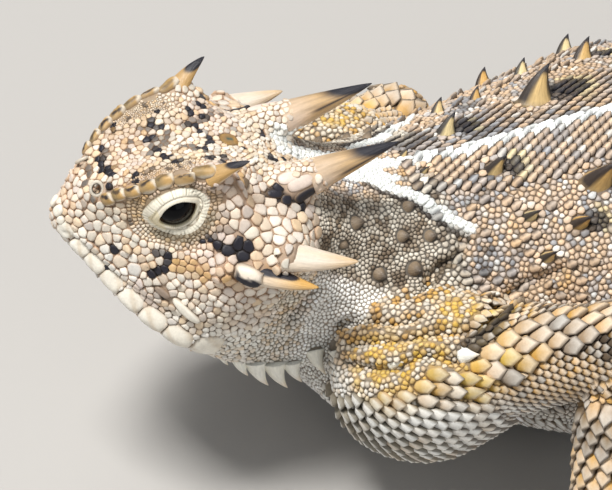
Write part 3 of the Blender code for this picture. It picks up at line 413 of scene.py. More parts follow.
def smoothed(points, faces, rounds, shares):
    """Every point moved part of the way to the middle of its neighbours, some times over."""
    ends = np.concatenate([faces[:, [0, 1]], faces[:, [1, 2]], faces[:, [2, 3]], faces[:, [3, 0]]])
    count = np.bincount(ends[:, 0], minlength=len(points))[:, None]
    for _ in range(rounds):
        for share in shares:
            total = np.stack([
                np.bincount(ends[:, 0], points[ends[:, 1], k], len(points)) for k in range(3)], axis=-1)
            points = points + share * (total / count - points)
    return points


def eye_plane(points):
    """Places in the plane of the eye's opening, along it and across it, and how far out they lie."""
    out, back, up = (folded_head(points) - np.array(EYE)).T
    tilt = math.radians(EYE_TILT)
    along, across = back * math.cos(tilt) + up * math.sin(tilt), -back * math.sin(tilt) + up * math.cos(tilt)
    return along, across, out


def from_eye_plane(out, along, across, side):
    """Places given in the plane of the eye's opening, in the body's frame."""
    tilt = math.radians(EYE_TILT)
    back = along * math.cos(tilt) - across * math.sin(tilt)
    up = along * math.sin(tilt) + across * math.cos(tilt)
    return on_side(np.array(EYE) + np.stack([out + 0 * back, back, up], -1), side)


def point_tree(points):
    """A tree that finds the nearest of some points."""
    tree = KDTree(len(points))
    for index, spot in enumerate(np.asarray(points).tolist()):
        tree.insert(spot, index)
    tree.balance()
    return tree


skin_points, skin_faces = fused(parts)
skin_points = smoothed(skin_points, skin_faces, 3, (0.5, -0.42))
skin_points = skin_points - COAT_DEPTH * facings(skin_points, skin_faces)

along, across, out = eye_plane(skin_points)
ring = np.hypot(along / EYE_OPENING[0], across / EYE_OPENING[1])
inside = (ring < 1.42) & (out > 0) & (np.hypot(along, across) < 3)
depth = np.where(inside, SOCKET_DEPTH * (1 - ramp(ring, 1.14, 1.42)), 0)
head = to_head(skin_points)
skin_points = skin_points - depth[:, None] * (HEAD_TURN @ (1, 0, 0)) * np.sign(head[:, :1])

mouth_tree = point_tree(through(HEAD_RAILS["mouth"][0], np.linspace(0, MOUTH_SHARE, 80)))
folded = folded_head(skin_points)
close = np.flatnonzero((folded[:, 1] < 13) & (folded[:, 2] < 2) & (folded[:, 2] > -6) & (folded[:, 0] < 11))
gap = np.array([mouth_tree.find(folded[i])[2] for i in close])
normal = facings(skin_points, skin_faces)
skin_points[close] -= (MOUTH_DEPTH * (1 - ramp(gap, 0.0, MOUTH_WIDTH)))[:, None] * normal[close]
to_nostril = np.linalg.norm(folded - NOSTRIL, axis=1)
skin_points -= (NOSTRIL_DEPTH * (1 - ramp(to_nostril, 0.15, NOSTRIL_RADIUS + 0.25)))[:, None] * normal
NECK_CREASES = [  # folds of the loose skin of the left side, as places on them
    [(11.5, 20.8, 15.4), (14.2, 22.4, 16.6), (15.7, 23.8, 17.6), (15.8, 25.2, 18.3), (17.1, 27.9, 18.1)],
    [(10.9, 21.2, 16.8), (13.0, 23.0, 18.4), (14.1, 24.4, 19.0), (14.6, 26.6, 19.4), (15.4, 29.7, 19.5),
     (14.5, 32.4, 19.5), (12.4, 35.6, 17.9)],
    [(8.6, 21.3, 16.9), (10.2, 22.8, 18.3), (12.7, 25.0, 19.6), (13.0, 26.3, 19.9)],
    [(7.5, 32.4, 21.9), (8.1, 32.1, 21.4), (8.8, 29.6, 20.5), (10.0, 27.9, 19.9), (10.5, 25.9, 19.9)],
    [(13.6, 32.1, 19.5), (11.4, 36.5, 18.9), (11.5, 39.2, 19.6)],
    [(8.5, 17.0, 18.8), (8.8, 18.2, 20.8), (8.7, 19.1, 21.5)],
]
rough_tree = BVHTree.FromPolygons(skin_points.tolist(), skin_faces.tolist())
crease_points = []
for line in NECK_CREASES:
    for side in (LEFT, RIGHT):
        steps = through(np.array(line) * (side, 1, 1), np.linspace(0, 1, 50))
        crease_points += [tuple(rough_tree.find_nearest(step)[0]) for step in steps.tolist()]
crease_tree = point_tree(crease_points)


def to_crease(points):
    """How far points lie from the nearest fold of the neck, up to 2 mm."""
    gap = np.full(len(points), 2.0)
    close = np.flatnonzero((points[:, 1] > 15) & (points[:, 1] < 42) & (points[:, 2] > 12))
    gap[close] = [crease_tree.find(spot)[2] for spot in points[close].tolist()]
    return gap


normal = facings(skin_points, skin_faces)
fold = to_crease(skin_points)
fold_depth = FOLD_DEPTH * (1 - ramp(fold, 0.0, 0.7))
fold_depth -= FOLD_LIP * ramp(fold, 0.5, 1.0) * (1 - ramp(fold, 1.0, 1.9))
skin_points -= fold_depth[:, None] * normal
skin_points[:, 2] = np.maximum(skin_points[:, 2], 0.05)
skin_normals = facings(skin_points, skin_faces)
skin_tree = BVHTree.FromPolygons(skin_points.tolist(), skin_faces.tolist())


def settle(points, normals=None):
    """The nearest places on the skin, the way it faces there, and how far each point moved."""
    found = [skin_tree.find_nearest(point) for point in points.tolist()]
    spots = np.array([hit[0] for hit in found])
    facing = unit(skin_normals[skin_faces[[hit[2] for hit in found]]].sum(axis=1))
    return spots, facing, np.array([hit[3] for hit in found])


# Places on the body: each point of the skin is told by the nearest ring of the flesh, which gives
# the piece that it belongs to, how far along and how far round it lies, and which way is rearward.
PIECES = ["head", "neck", "trunk"] + [
    f"{kind} {SIDES[side]} {piece}" for kind, side in LIMBS for piece in ("bulge", "upper", "lower", "palm")]
guide_points, guide_along, guide_round, guide_index, guide_place = [], [], [], [], []
for index, name in enumerate(PIECES):
    rings = parts[name]
    if name == "head":
        rings = rings[4:]
    rows, sides = rings.shape[:2]
    guide_points.append(rings.reshape(-1, 3))
    guide_along.append(np.gradient(rings, axis=0).reshape(-1, 3) * rows)
    guide_round.append(((np.roll(rings, -1, axis=1) - np.roll(rings, 1, axis=1)) / 2).reshape(-1, 3) * sides)
    guide_index.append(np.full(rows * sides, index))
    shares, rounds = np.meshgrid(np.arange(rows) / (rows - 1), np.arange(sides) / sides, indexing="ij")
    guide_place.append(np.stack([shares.ravel(), rounds.ravel()], -1))
guide_points, guide_along, guide_round, guide_index, guide_place = (
    np.concatenate(values) for values in (guide_points, guide_along, guide_round, guide_index, guide_place))
guide_tree = point_tree(guide_points)
HEAD, NECK, TRUNK_PIECE = 0, 1, 2  # numbers of the first pieces; the limbs' come after them


def among(piece, *words):
    """Whether the names of pieces hold all of some words."""
    return np.isin(piece, [index for index, name in enumerate(PIECES) if all(word in name for word in words)])


def places(points):
    """The piece, the share along it, the turn round it and the rearward way at points on the skin."""
    near = np.array([guide_tree.find(point)[1] for point in points.tolist()])
    away = points - guide_points[near]
    along, around = guide_along[near], guide_round[near]
    share = guide_place[near, 0] + (away * along).sum(-1) / np.maximum((along**2).sum(-1), 1e-9)
    turn = guide_place[near, 1] + (away * around).sum(-1) / np.maximum((around**2).sum(-1), 1e-9)
    return guide_index[near], share, np.mod(turn, 1), unit(along)


# Colours and markings, the same on the skin and on every scale: cream head with dark spots, a white
# stripe down the back, dark blotches behind the spines, a grey-brown patch on each side of the neck,
# a white belly, and ochre limbs with dark smudges. Each marking is a place, a size and a colour.
def colour(red, green, blue):
    """A colour as the eye reads it, 0 to 255, in the renderer's linear scale."""
    value = np.array((red, green, blue)) / 255
    return np.where(value <= 0.04045, value / 12.92, ((value + 0.055) / 1.055) ** 2.4)


CREAM, PINKISH, WHITE = colour(230, 223, 208), colour(219, 201, 187), colour(240, 240, 234)
OCHRE, YELLOW, SAND = colour(205, 160, 88), colour(216, 182, 74), colour(212, 184, 154)
BLUE_BLACK, DARK, UMBER = colour(30, 29, 38), colour(60, 53, 48), colour(140, 122, 100)
SEAM, DEEP_SEAM, GREY = colour(140, 118, 94), colour(98, 82, 66), colour(166, 166, 168)
TAN, OLIVE, PALE_YELLOW = colour(178, 148, 106), colour(98, 90, 62), colour(228, 212, 164)
WARM_SEAM = colour(184, 150, 120)
PALE, IVORY, SNOW = colour(246, 245, 240), colour(226, 213, 196), colour(226, 229, 226)
HEAD_SPOTS = {  # places on the head's left half, and radius
    "forehead": [((1.95, 7.7, 7.8), 0.5), ((0.75, 7.2, 7.4), 0.52), ((3.0, 8.3, 8.2), 0.3),
                 ((0.7, 3.6, 5.3), 0.5), ((0.9, 3.75, 5.45), 0.42), ((2.55, 3.4, 5.2), 0.3),
                 ((2.75, 5.0, 6.6), 0.32), ((1.6, 3.7, 5.6), 0.3), ((2.4, 3.4, 5.3), 0.25),
                 ((3.4, 5.05, 6.6), 0.28), ((2.8, 5.0, 6.5), 0.25), ((0.64, 7.3, 7.3), 0.25),
                 ((1.6, 8.3, 7.85), 0.22)],
    "crown": [((4.4, 12.2, 8.4), 0.35), ((3.5, 12.0, 8.3), 0.42), ((2.8, 11.0, 8.3), 0.42),
              ((1.5, 10.8, 8.0), 0.4), ((2.5, 12.1, 8.1), 0.33), ((0.8, 11.4, 7.9), 0.36),
              ((0.1, 11.8, 7.8), 0.4), ((1.1, 14.5, 7.5), 0.2), ((0.9, 18.3, 6.1), 0.35),
              ((1.5, 16.95, 6.85), 0.35)],
    "horn root": [((5.05, 15.1, 6.3), 0.35), ((5.1, 16.2, 6.3), 0.75), ((5.5, 17.1, 5.9), 0.6),
                  ((5.3, 18.4, 5.5), 0.7), ((5.2, 18.9, 5.9), 0.55)],
    "temple": [((7.5, 11.7, 3.4), 0.5), ((7.3, 12.15, 4.25), 0.36), ((8.0, 12.6, 3.3), 0.62),
               ((8.4, 13.4, 3.2), 0.62), ((8.6, 12.9, 2.6), 0.45), ((6.9, 10.9, 3.6), 0.35),
               ((7.0, 10.2, 3.3), 0.3)],
    "cheek": [((4.0, 4.2, 0.25), 0.34), ((3.7, 3.9, -1.7), 0.36), ((4.0, 4.3, -2.0), 0.3),
              ((6.0, 7.4, 1.25), 0.32), ((6.4, 7.9, 1.15), 0.36), ((6.6, 7.9, 0.3), 0.33),
              ((6.25, 7.2, -0.4), 0.42), ((6.7, 7.6, -2.0), 0.4), ((7.0, 7.9, -2.5), 0.35),
              ((7.7, 9.0, -4.8), 0.3), ((3.2, 3.0, 0.4), 0.2)],
}
SPOTS = np.array([[*place, radius] for group in HEAD_SPOTS.values() for place, radius in group])
HEAD_OCHRES = np.array([(7.1, 8.7, 0.7, 0.7), (7.3, 9.2, 1.1, 0.6), (7.6, 9.9, 1.4, 0.65),
                        (8.2, 10.6, 0.8, 0.8), (8.8, 12.0, 1.5, 0.8), (9.2, 15.5, 2.2, 0.8),
                        (4.8, 13.2, 7.6, 0.6)])
BROW_PATCH = (4.2, 5.2, 4.9)  # the middle of a tan patch in front of the eye
CROWN_FOLD = [(0.0, 6.9, 7.15), (0.5, 8.1, 7.6), (1.1, 9.4, 7.95), (1.63, 10.75, 8.05), (2.1, 12.0, 8.0),
              (3.2, 13.2, 7.9)]
NAPE_EDGE = np.array([(2.6, 26.0, 25.7), (3.2, 26.8, 25.3), (3.7, 28.0, 24.8), (4.3, 29.3, 24.2),
                      (5.3, 30.2, 23.5), (6.2, 31.2, 22.9), (6.9, 32.1, 22.3), (7.4, 32.8, 21.9)])
BORDER_SHIFT = np.array((-0.45, 0.35, 0.25))  # from the neck patch's edge to its white border
ARM_SMUDGES = np.array([(16.9, 29.1, 18.8, 1.0), (16.5, 30.4, 19.3, 1.0), (15.7, 31.5, 19.5, 1.0),
                        (15.0, 32.9, 19.8, 1.0), (16.1, 35.9, 20.0, 0.9),
                        (20.4, 36.4, 20.2, 1.2), (22.1, 38.4, 20.3, 1.3), (12.6, 33.6, 19.9, 0.9)])
SHOULDER_YELLOW = np.array([(14.6, 22.6, 16.6, 3.0), (16.0, 25.6, 17.9, 2.2), (13.2, 29.4, 20.0, 2.0),
                            (15.2, 32.4, 19.9, 2.2), (17.6, 31.6, 18.9, 2.4), (18.6, 29.0, 16.6, 1.8)])
# turn from the middle of the back, place back and length: measured for each side, then the species' rows
BACK_SPINES = {
    LEFT: [(0.029, 36.9, 2.0), (0.056, 44.6, 3.3), (0.076, 38.2, 1.5), (0.086, 41.9, 1.9),
           (0.110, 38.5, 1.5), (0.020, 31.2, 0.8), (0.098, 47.6, 2.2), (0.128, 44.8, 1.9)],
    RIGHT: [(0.031, 35.0, 2.0), (0.036, 43.5, 3.5), (0.079, 50.2, 2.1), (0.095, 45.0, 1.6),
            (0.076, 39.6, 1.3), (0.080, 36.1, 1.5), (0.008, 30.3, 0.8), (0.128, 42.6, 1.8)],
}
BACK_ROWS = [(0.050, 53.0, 3.3), (0.052, 61.5, 3.1), (0.060, 70.0, 2.7), (0.068, 77.5, 2.3),
             (0.085, 84.5, 1.9), (0.096, 57.2, 2.5), (0.104, 65.5, 2.4), (0.118, 73.8, 2.1),
             (0.140, 51.4, 2.1), (0.146, 60.6, 2.2), (0.150, 68.8, 2.0), (0.160, 77.0, 1.8)]


def blotched(points, seed, size):
    """A smooth random field between about -1 and 1, from sines of many ways and one main size."""
    dice = np.random.default_rng(seed)
    ways = unit(dice.normal(size=(24, 3))) * (2 * math.pi / size) * dice.uniform(0.6, 1.5, (24, 1))
    return np.sin(points @ ways.T + dice.uniform(0, 6.3, 24)).sum(axis=1) / 5.0


def mixed(base, other, share):
    """One colour part of the way to another, over an array of shares."""
    return base + (np.asarray(other) - base) * np.clip(np.asarray(share, float), 0, 1)[..., None]


def nearness(points, spots, soft=0.25):
    """1 inside any of some balls and 0 outside them, with a soft edge. A ball is a place and a radius."""
    away = np.linalg.norm(points[:, None] - spots[None, :, :3], axis=2) / spots[None, :, 3]
    return 1 - ramp(away.min(axis=1), 1 - soft, 1 + soft)


def to_line(points, line):
    """The distance from each point to a line through some points."""
    steps = through(line, np.linspace(0, 1, 60))
    return np.linalg.norm(points[:, None] - steps[None], axis=2).min(axis=1)


def turned(turn, side):
    """A turn round the body on the left side, or its mirror image on the right."""
    return turn if side == LEFT else 1 - turn


BLOTCHES = np.array([  # dark places behind the longer spines: place and radius
    [*trunk_points(np.array(back + 0.75 * length), np.array(turned(turn, side))), 0.50 * length]
    for side in (LEFT, RIGHT)
    for turn, back, length in BACK_SPINES[side] + BACK_ROWS
    if length > 1.85
])


def painted(tone, seam, layers):
    """Colours of scales and of seams under layers, each with a colour for either, or None, and its share."""
    for over_scales, over_seams, share in layers:
        tone = tone if over_scales is None else mixed(tone, over_scales, share)
        seam = seam if over_seams is None else mixed(seam, over_seams, share)
    return tone, seam


def head_markings(points, piece, fields):
    """Cream and pink, spots and flecks on the crown, olive in the throat's seams, painted olive shade round
    and below the lids, whiter below.
    """
    patchy, fine, tiny = fields
    folded = folded_head(points)
    out, back, up = folded.T
    on_head = piece == HEAD
    along, across, _ = eye_plane(points)
    ring = np.hypot(along / LID_OUTER[0], across / LID_OUTER[1])
    near_eye = (1 - ramp(ring, 1.15, 1.7)) * on_head * (out > 2)
    shade_below_eye = near_eye * ramp(-across, 0.8, 1.6) * (1 - ramp(ring, 1.2, 1.45))
    throat = ramp(-up, 5.2, 7.0) * ramp(back, 9.5, 12.5) * 0.75
    throat = np.maximum(throat, ramp(back, 16.5, 18) * (up < 1) * 0.7)
    from_brow = np.linalg.norm(folded - BROW_PATCH, axis=1)
    spotted = nearness(folded, SPOTS, 0.1) * ((piece <= NECK) & (back < 20))
    often = 0.4 * (1 - ramp(back, 5, 9))
    flecks = on_head * ramp(tiny + 0.35 * fine + often, 1.15, 1.35) * (up > 3.0) * (back < 14)
    fold = (1 - ramp(to_line(folded, CROWN_FOLD), 0.16, 0.36)) * on_head * ramp(tiny, -1.2, 0.2)
    return painted(CREAM, SEAM, [
        (None, WARM_SEAM, on_head * ramp(up, -4.0, -1.0) * 0.85),
        (PINKISH, None, 0.40 + 0.45 * patchy + 0.25 * tiny),
        (OCHRE, None, ramp(fine + 0.6 * tiny, 0.5, 1.8) * 0.30),
        (GREY, None, 0.10 + 0.16 * tiny),
        (WHITE, None, ramp(-up, 3.0, 5.5) * 0.55),
        (None, OLIVE, throat),
        (WHITE, None, (back < 6) * ramp(-up, -1.5, 0.5) * 0.5),
        (OCHRE, None, nearness(folded, HEAD_OCHRES) * on_head * 0.75),
        (TAN, None, near_eye * 0.35),
        # olive below the eye and in the seams round it is painted shade of the lids
        (OLIVE, None, shade_below_eye * 0.65),
        (None, OLIVE, near_eye * 0.6),
        (UMBER, None, on_head * ramp(up, 3.5, 6.0) * (0.15 + 0.1 * tiny)),
        (TAN, None, on_head * (1 - ramp(from_brow, 1.2, 2.4)) * 0.5),
        (BLUE_BLACK, DARK, spotted),
        (DARK, None, np.maximum(flecks, fold) * 0.8),
        (OCHRE, None, on_head * ramp(-fine, 0.9, 1.4) * (up > 4) * 0.3),
    ])


def body_markings(tone, seam, points, piece, share, turn, fields):
    """Sandy above and pale below, a white stripe and nape, a grey-brown neck patch, blotches, tail bands."""
    patchy, fine, tiny = fields
    on_neck, on_trunk = piece == NECK, piece == TRUNK_PIECE
    body = (on_trunk | on_neck) * 1.0
    spine = np.minimum(turn, 1 - turn)  # 0 on the middle of the back, 0.5 under the belly
    back = np.where(on_trunk, NECK_END + share * (TAIL_END - NECK_END), 21 + 9 * share)
    upper = 1 - ramp(spine, 0.22, 0.30)
    low = body * (1 - upper)
    sandy, _ = painted(SAND, None, [
        (OCHRE, None, 0.30 * fine + 0.25 * tiny),
        (GREY, None, 0.5 * patchy + 0.6 * tiny + 0.30),
        (WHITE, None, ramp(blotched(points, 13, 1.3), 0.7, 1.2) * 0.6),
        (DARK, None, ramp(patchy * 0.8 + fine * 0.7 + tiny * 0.5, 0.9, 1.7) * 0.65),
    ])
    patch = (on_neck | (on_trunk & (share < 0.03))) * ramp(spine, 0.02, 0.04) * (1 - ramp(spine, 0.235, 0.28))
    patch = patch * (1 - ramp(back, 31.6, 32.4))
    grey_brown, _ = painted(UMBER, None, [
        (CREAM, None, 0.28 * fine + 0.28 * tiny + 0.42),
        (DARK, None, ramp(-fine - 0.3 * tiny, 0.4, 1.3) * 0.4),
    ])
    flipped = to_left(points)
    border = (1 - ramp(to_line(flipped - BORDER_SHIFT, NAPE_EDGE), 0.45, 0.7)) * (body > 0)
    edge = (1 - ramp(to_line(flipped, NAPE_EDGE), 0.3, 0.6)) * (1 - border) * body
    across, along, height = points.T
    nape = (np.abs(across - 0.45) < 1.1 + 0.8 * ramp(along, 20, 25)) & (along > 18.6)
    nape = nape & (along < 28.6 + 0.6 * np.sin(across * 4)) & (piece <= NECK) & (height > 20)
    bend = -TAIL_BEND * np.clip((back - TAIL_START) / (TAIL_END - TAIL_START), 0, 1) ** 2
    stripe = np.abs(across - bend - 0.25 * (1 - ramp(back, 30, 40))) < 0.58 + 0.1 * np.sin(back * 5.2)
    stripe = stripe & (upper > 0.5) & (back > 26) & (back < 116) & (body > 0)
    white = np.maximum.reduce([nape * 1.0, stripe * 1.0, border])
    away = np.linalg.norm(points[:, None] - BLOTCHES[None, :, :3], axis=2) / BLOTCHES[None, :, 3]
    nearest, away = BLOTCHES[away.argmin(axis=1)], away.min(axis=1)
    beside = on_trunk & ~stripe
    crescent = (1 - ramp(away, 1.35, 1.55)) * (along > nearest[:, 1] + 0.2 * nearest[:, 3]) * beside
    blotch = (1 - ramp(away, 0.9, 1.15)) * beside
    bands = on_trunk * ramp(back, 86, 92) * ramp(np.sin((back - 90) * 0.62), 0.3, 0.6) * upper
    return painted(tone, seam, [
        (sandy, DEEP_SEAM, body * upper),
        (PALE, None, low),
        (None, SEAM, low * 0.8),
        (UMBER, None, low * on_neck * (0.05 + 0.1 * tiny)),
        (GREY, None, low * ramp(-patchy, 0.5, 1.0) * ramp(back, 36, 50) * 0.35),
        (grey_brown, DARK, patch),
        (DARK, None, edge),
        (SNOW, PALE, white),
        (PALE_YELLOW, None, crescent * 0.7),
        (DARK, None, blotch * 0.9),
        (None, BLUE_BLACK, blotch),
        (DARK, None, bands * (1 - stripe) * 0.7),
    ])


def limb_markings(points, piece, share, fields):
    """Ochre above and white below, with smudges and dark bands, and a yellow and cream shoulder."""
    patchy, fine, tiny = fields
    flipped = to_left(points)
    height = points[:, 2]
    upward = ramp(height, 2.0, 9.0)
    lower, leg = among(piece, "lower") | among(piece, "palm"), among(piece, "leg")
    shoulder = among(piece, "arm", "bulge")
    dirt = upward * np.where(lower, 0.3, 1.0)
    bands = ramp(np.sin(share * 11 + patchy * 1.2 + 2.2), 0.55, 0.8) * (lower | leg)
    pale = shoulder * (1 - ramp(flipped[:, 1], 25, 29)) * (1 - ramp(height, 14, 17))
    armpit = np.where(points[:, 0] > 0, 13.0, 6.5)  # the right foreleg is held lower
    under = ((piece > TRUNK_PIECE) & ~leg) * (1 - ramp(height - armpit, 0.0, 3.0)) * ~lower
    gold = nearness(flipped, SHOULDER_YELLOW, 0.45) * ramp(tiny + fine, -1.0, 0.6)
    smudge = nearness(flipped, ARM_SMUDGES, 0.3) * ramp(tiny + 0.5 * fine, -1.3, -0.3)
    return painted(WHITE, mixed(SEAM, DEEP_SEAM, upward), [
        (SAND, None, 0.75 * upward + 0.25 * fine),
        (OCHRE, None, 0.66 * upward + 0.35 * tiny),
        (UMBER, None, ramp(fine - 0.5 * tiny, 0.1, 1.2) * 0.55 * dirt),
        (DARK, None, ramp(-fine - 0.7 * tiny, 0.9, 1.5) * 0.6 * dirt),
        (DARK, None, bands * 0.65 * (0.3 + 0.7 * upward)),
        (CREAM, None, shoulder * ramp(-tiny - 0.4 * fine, -0.9, 0.3) * 0.75),
        (0.7 * PALE + 0.3 * TAN, None, pale),
        (PALE, None, under),
        (None, OLIVE, pale * 0.6),
        (YELLOW, None, gold * 0.75),
        (None, TAN, gold),
        (DARK, None, smudge * 0.9),
        (None, DARK, smudge),
    ])


def markings(points, piece, share, turn):
    """The colour of the scales and of the seams between them at points of the skin, with olive painted shade
    in the neck's folds.
    """
    fields = [blotched(points, seed, size) for seed, size in ((3, 7.0), (5, 2.2), (7, 1.1))]
    tone, seam = body_markings(*head_markings(points, piece, fields), points, piece, share, turn, fields)
    limb, limb_seam = limb_markings(points, piece, share, fields)
    # olive in and near the neck's folds is painted shade
    crease_shade = (1 - ramp(to_crease(points), 0.2, 0.65)) * (piece > HEAD)
    return painted(tone, seam, [
        (limb * 0.94, limb_seam, (piece > TRUNK_PIECE) * 1.0),
        (OLIVE, None, crease_shade * 0.6),
        (None, OLIVE, crease_shade),
    ])


# The finishes. Scales and skin are dry keratin with a speckle and pores; horns and spines are
# ribbed keratin; the eye is wet and dark. Their colours come with the mesh, worked out above.
class Node:
    """A socket of a material that can be used in sums and products, on either side of the sign."""

    def __init__(self, socket, tree):
        self.socket, self.tree = socket, tree

    def math(self, kind, other):
        node = self.tree.nodes.new("ShaderNodeMath")
        node.operation = kind
        for socket, value in zip(node.inputs, (self, other)):
            if isinstance(value, Node):
                self.tree.links.new(value.socket, socket)
            else:
                socket.default_value = value
        return Node(node.outputs[0], self.tree)

    def __add__(self, other):
        return self.math("ADD", other)

    def __mul__(self, other):
        return self.math("MULTIPLY", other)

    __radd__, __rmul__ = __add__, __mul__


class Finish:
    """A material under construction: node() adds any node, and the shader's sockets take values or links."""

    def __init__(self, name, **sockets):
        self.material = bpy.data.materials.new(name)
        self.material.use_nodes = True
        self.tree = self.material.node_tree
        self.shader = self.tree.nodes["Principled BSDF"]
        for label, value in sockets.items():
            self.shader.inputs[label.replace("_", " ")].default_value = value

    def node(self, kind, settings=None, output=0, **sockets):
        node = self.tree.nodes.new(kind)
        for label, value in (settings or {}).items():
            setattr(node, label, value)
        for label, value in sockets.items():
            self.feed(node.inputs[int(label[1:]) if label[0] == "_" else label.replace("_", " ")], value)
        return Node(node.outputs[output], self.tree)

    def feed(self, socket, value):
        if isinstance(value, Node):
            self.tree.links.new(value.socket, socket)
        else:
            socket.default_value = value

    def into(self, label, value):
        self.feed(self.shader.inputs[label], value)

    def place(self):
        return self.node("ShaderNodeTexCoord", output=3)

    def attribute(self, name, output=0):
        return self.node("ShaderNodeAttribute", {"attribute_name": name}, output)

    def noise(self, scale, detail=3.0, rough=0.55, vector=None):
        return self.node("ShaderNodeTexNoise", Vector=vector or self.place(), Scale=scale, Detail=detail,
                         Roughness=rough)

    def shaded(self, tone, share):
        """A colour times a grey that varies."""
        grey = self.node("ShaderNodeCombineColor", Red=share, Green=share, Blue=share)
        product = {"data_type": "RGBA", "blend_type": "MULTIPLY"}
        return self.node("ShaderNodeMix", product, 2, _0=1.0, _6=tone, _7=grey)

    def bump(self, height, strength, distance):
        return self.node("ShaderNodeBump", Height=height, Strength=strength, Distance=distance)


def scaly(name):
    """Dry keratin: the scale's own colour with fine speckles and pores, duller in the seams."""
    made = Finish(name, Specular_IOR_Level=0.4)
    tone, seam = made.attribute("tone"), made.attribute("seam", 2)
    broad, fine = made.noise(900.0), made.noise(5600.0, 4.0, 0.65)
    made.into("Base Color", made.shaded(tone, broad * 0.36 + fine * 0.36 + 0.66))
    made.into("Roughness", 0.42 + 0.35 * seam + 0.15 * fine)
    made.into("Normal", made.bump(fine, 0.3, 0.00005))
    return made.material


def ribbed(name):
    """Horn: long fine ribs and faint growth rings, half glossy, with darker streaks along it."""
    made = Finish(name, Specular_IOR_Level=0.5)
    grain = made.attribute("grain", 1)
    ribs = made.noise(5.0, 3.0, 0.6, grain)
    fine = made.noise(4200.0, 3.0, 0.6)
    made.into("Base Color", made.shaded(made.attribute("tone"), ribs * 0.55 + fine * 0.18 + 0.62))
    made.into("Roughness", 0.34 + 0.25 * fine)
    made.into("Normal", made.bump(ribs, 0.55, 0.00012))
    return made.material


scale_finish, horn_finish = scaly("horned lizard scales"), ribbed("horned lizard horn")


def finished(made, finish, slot, *nodes):
    """Gives a piece its finish, hangs it on the model's one body, and hides any solids that it stands for.
    The slot is not used.
    """
    made.data.materials.append(finish)
    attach(made, "root")
    if nodes:
        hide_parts(*nodes)
    return made


# The camera stands where the photograph was taken from, on the animal's left and above it.
CAMERA_TARGET, CAMERA_DISTANCE = np.array((1.73, 20.96, 20.0)), 420.0
CAMERA_AZIMUTH, CAMERA_ELEVATION = math.radians(69.07), math.radians(41.34)
backward = Vector((
    math.sin(CAMERA_AZIMUTH) * math.cos(CAMERA_ELEVATION),
    -math.cos(CAMERA_AZIMUTH) * math.cos(CAMERA_ELEVATION),
    math.sin(CAMERA_ELEVATION),
))
lens = bpy.data.cameras.new("camera")
lens.lens, lens.sensor_width, lens.clip_start = 304.2, 36.0, 0.01
camera = bpy.data.objects.new("camera", lens)
camera.location = Vector((CAMERA_TARGET - MIDDLE) * MM) + backward * CAMERA_DISTANCE * MM
camera.rotation_euler = backward.to_track_quat("Z", "Y").to_euler()
bpy.context.scene.collection.objects.link(camera)
bpy.context.scene.camera = camera

# Horns, spines and claws: tapered keratin, each drawn along a bent path from a root sunk in the
# skin. The horns stand for the solids' own; the spines stand in rows on the back, sides and tail.
def spikes(name, roots, first_way, last_way, lengths, radii, tone, sides=12, rings=12, power=0.85,
           flat=1.0, edge=0.0, ribs=0.0, flare=0.22, upward=None):
    """Tapered spikes as one mesh.

    At a share t of its length a spike's middle lies at root + length (t - t^2/2) first + length t^2/2 last,
    and its radius is radius (1 - t)^power, wider at the very root. Across, it is an ellipse drawn out into
    a ridge at both sides, with ribs as a cosine of the angle. tone(t, angle, number) gives its colour.
    """
    roots, lengths, radii = np.asarray(roots, float), np.asarray(lengths, float), np.asarray(radii, float)
    first_way, last_way = unit(first_way), unit(last_way)
    count = len(roots)
    t = (np.linspace(0, 1, rings) ** 1.1)[None, :, None]
    middle = (t - t**2 / 2) * first_way[:, None] + t**2 / 2 * last_way[:, None]
    middle = roots[:, None] + lengths[:, None, None] * middle
    along = unit((1 - t) * first_way[:, None] + t * last_way[:, None])
    across = np.cross(first_way, last_way) if upward is None else np.cross(upward, first_way)
    across = unit(across)[:, None] * np.ones_like(along)
    across = unit(across - along * (across * along).sum(-1, keepdims=True))
    up = np.cross(along, across)
    angle = np.arange(sides) / sides * 2 * math.pi
    radius = radii[:, None, None] * ((1 - t) ** power + flare * np.exp(-t / 0.05)) + 0.015
    shape = 1 + edge * np.abs(np.cos(angle)) ** 6 + ribs * np.cos(angle * sides / 2)
    ring = middle[:, :, None] + radius[..., None] * (
        across[:, :, None] * (np.cos(angle) * shape)[None, None, :, None]
        + up[:, :, None] * (flat * np.sin(angle) * shape)[None, None, :, None])
    tip = roots + lengths[:, None] * (first_way + last_way) / 2
    shares, angles = np.meshgrid(t[0, :, 0], angle, indexing="ij")
    number = np.arange(count)[:, None]
    tones = tone(np.tile(shares.ravel(), (count, 1)), np.tile(angles.ravel(), (count, 1)), number)
    tones = np.concatenate([tones, tones[:, -1:]], axis=1)
    placed = np.concatenate([ring.reshape(count, -1, 3), tip[:, None]], axis=1)
    placed[..., 2] = np.maximum(placed[..., 2], 0.02)
    grain = np.stack([np.cos(angles), np.sin(angles), shares * 0.8 + 0 * angles], -1).reshape(-1, 3)
    grain = np.concatenate([grain, [(0, 0, 0.8)]])
    polygons = closed_faces(count, rings, sides)
    made = make_mesh(name, placed.reshape(-1, 3), polygons, {"tone": tones.reshape(-1, 3)})
    layer = made.data.attributes.new("grain", "FLOAT_VECTOR", "POINT")
    offset = np.arange(count)[:, None, None] * np.array((0.0, 0.0, 3.7))
    layer.data.foreach_set("vector", (np.tile(grain, (count, 1, 1)) + offset).astype(np.float32).ravel())
    return finished(made, horn_finish, "horn")


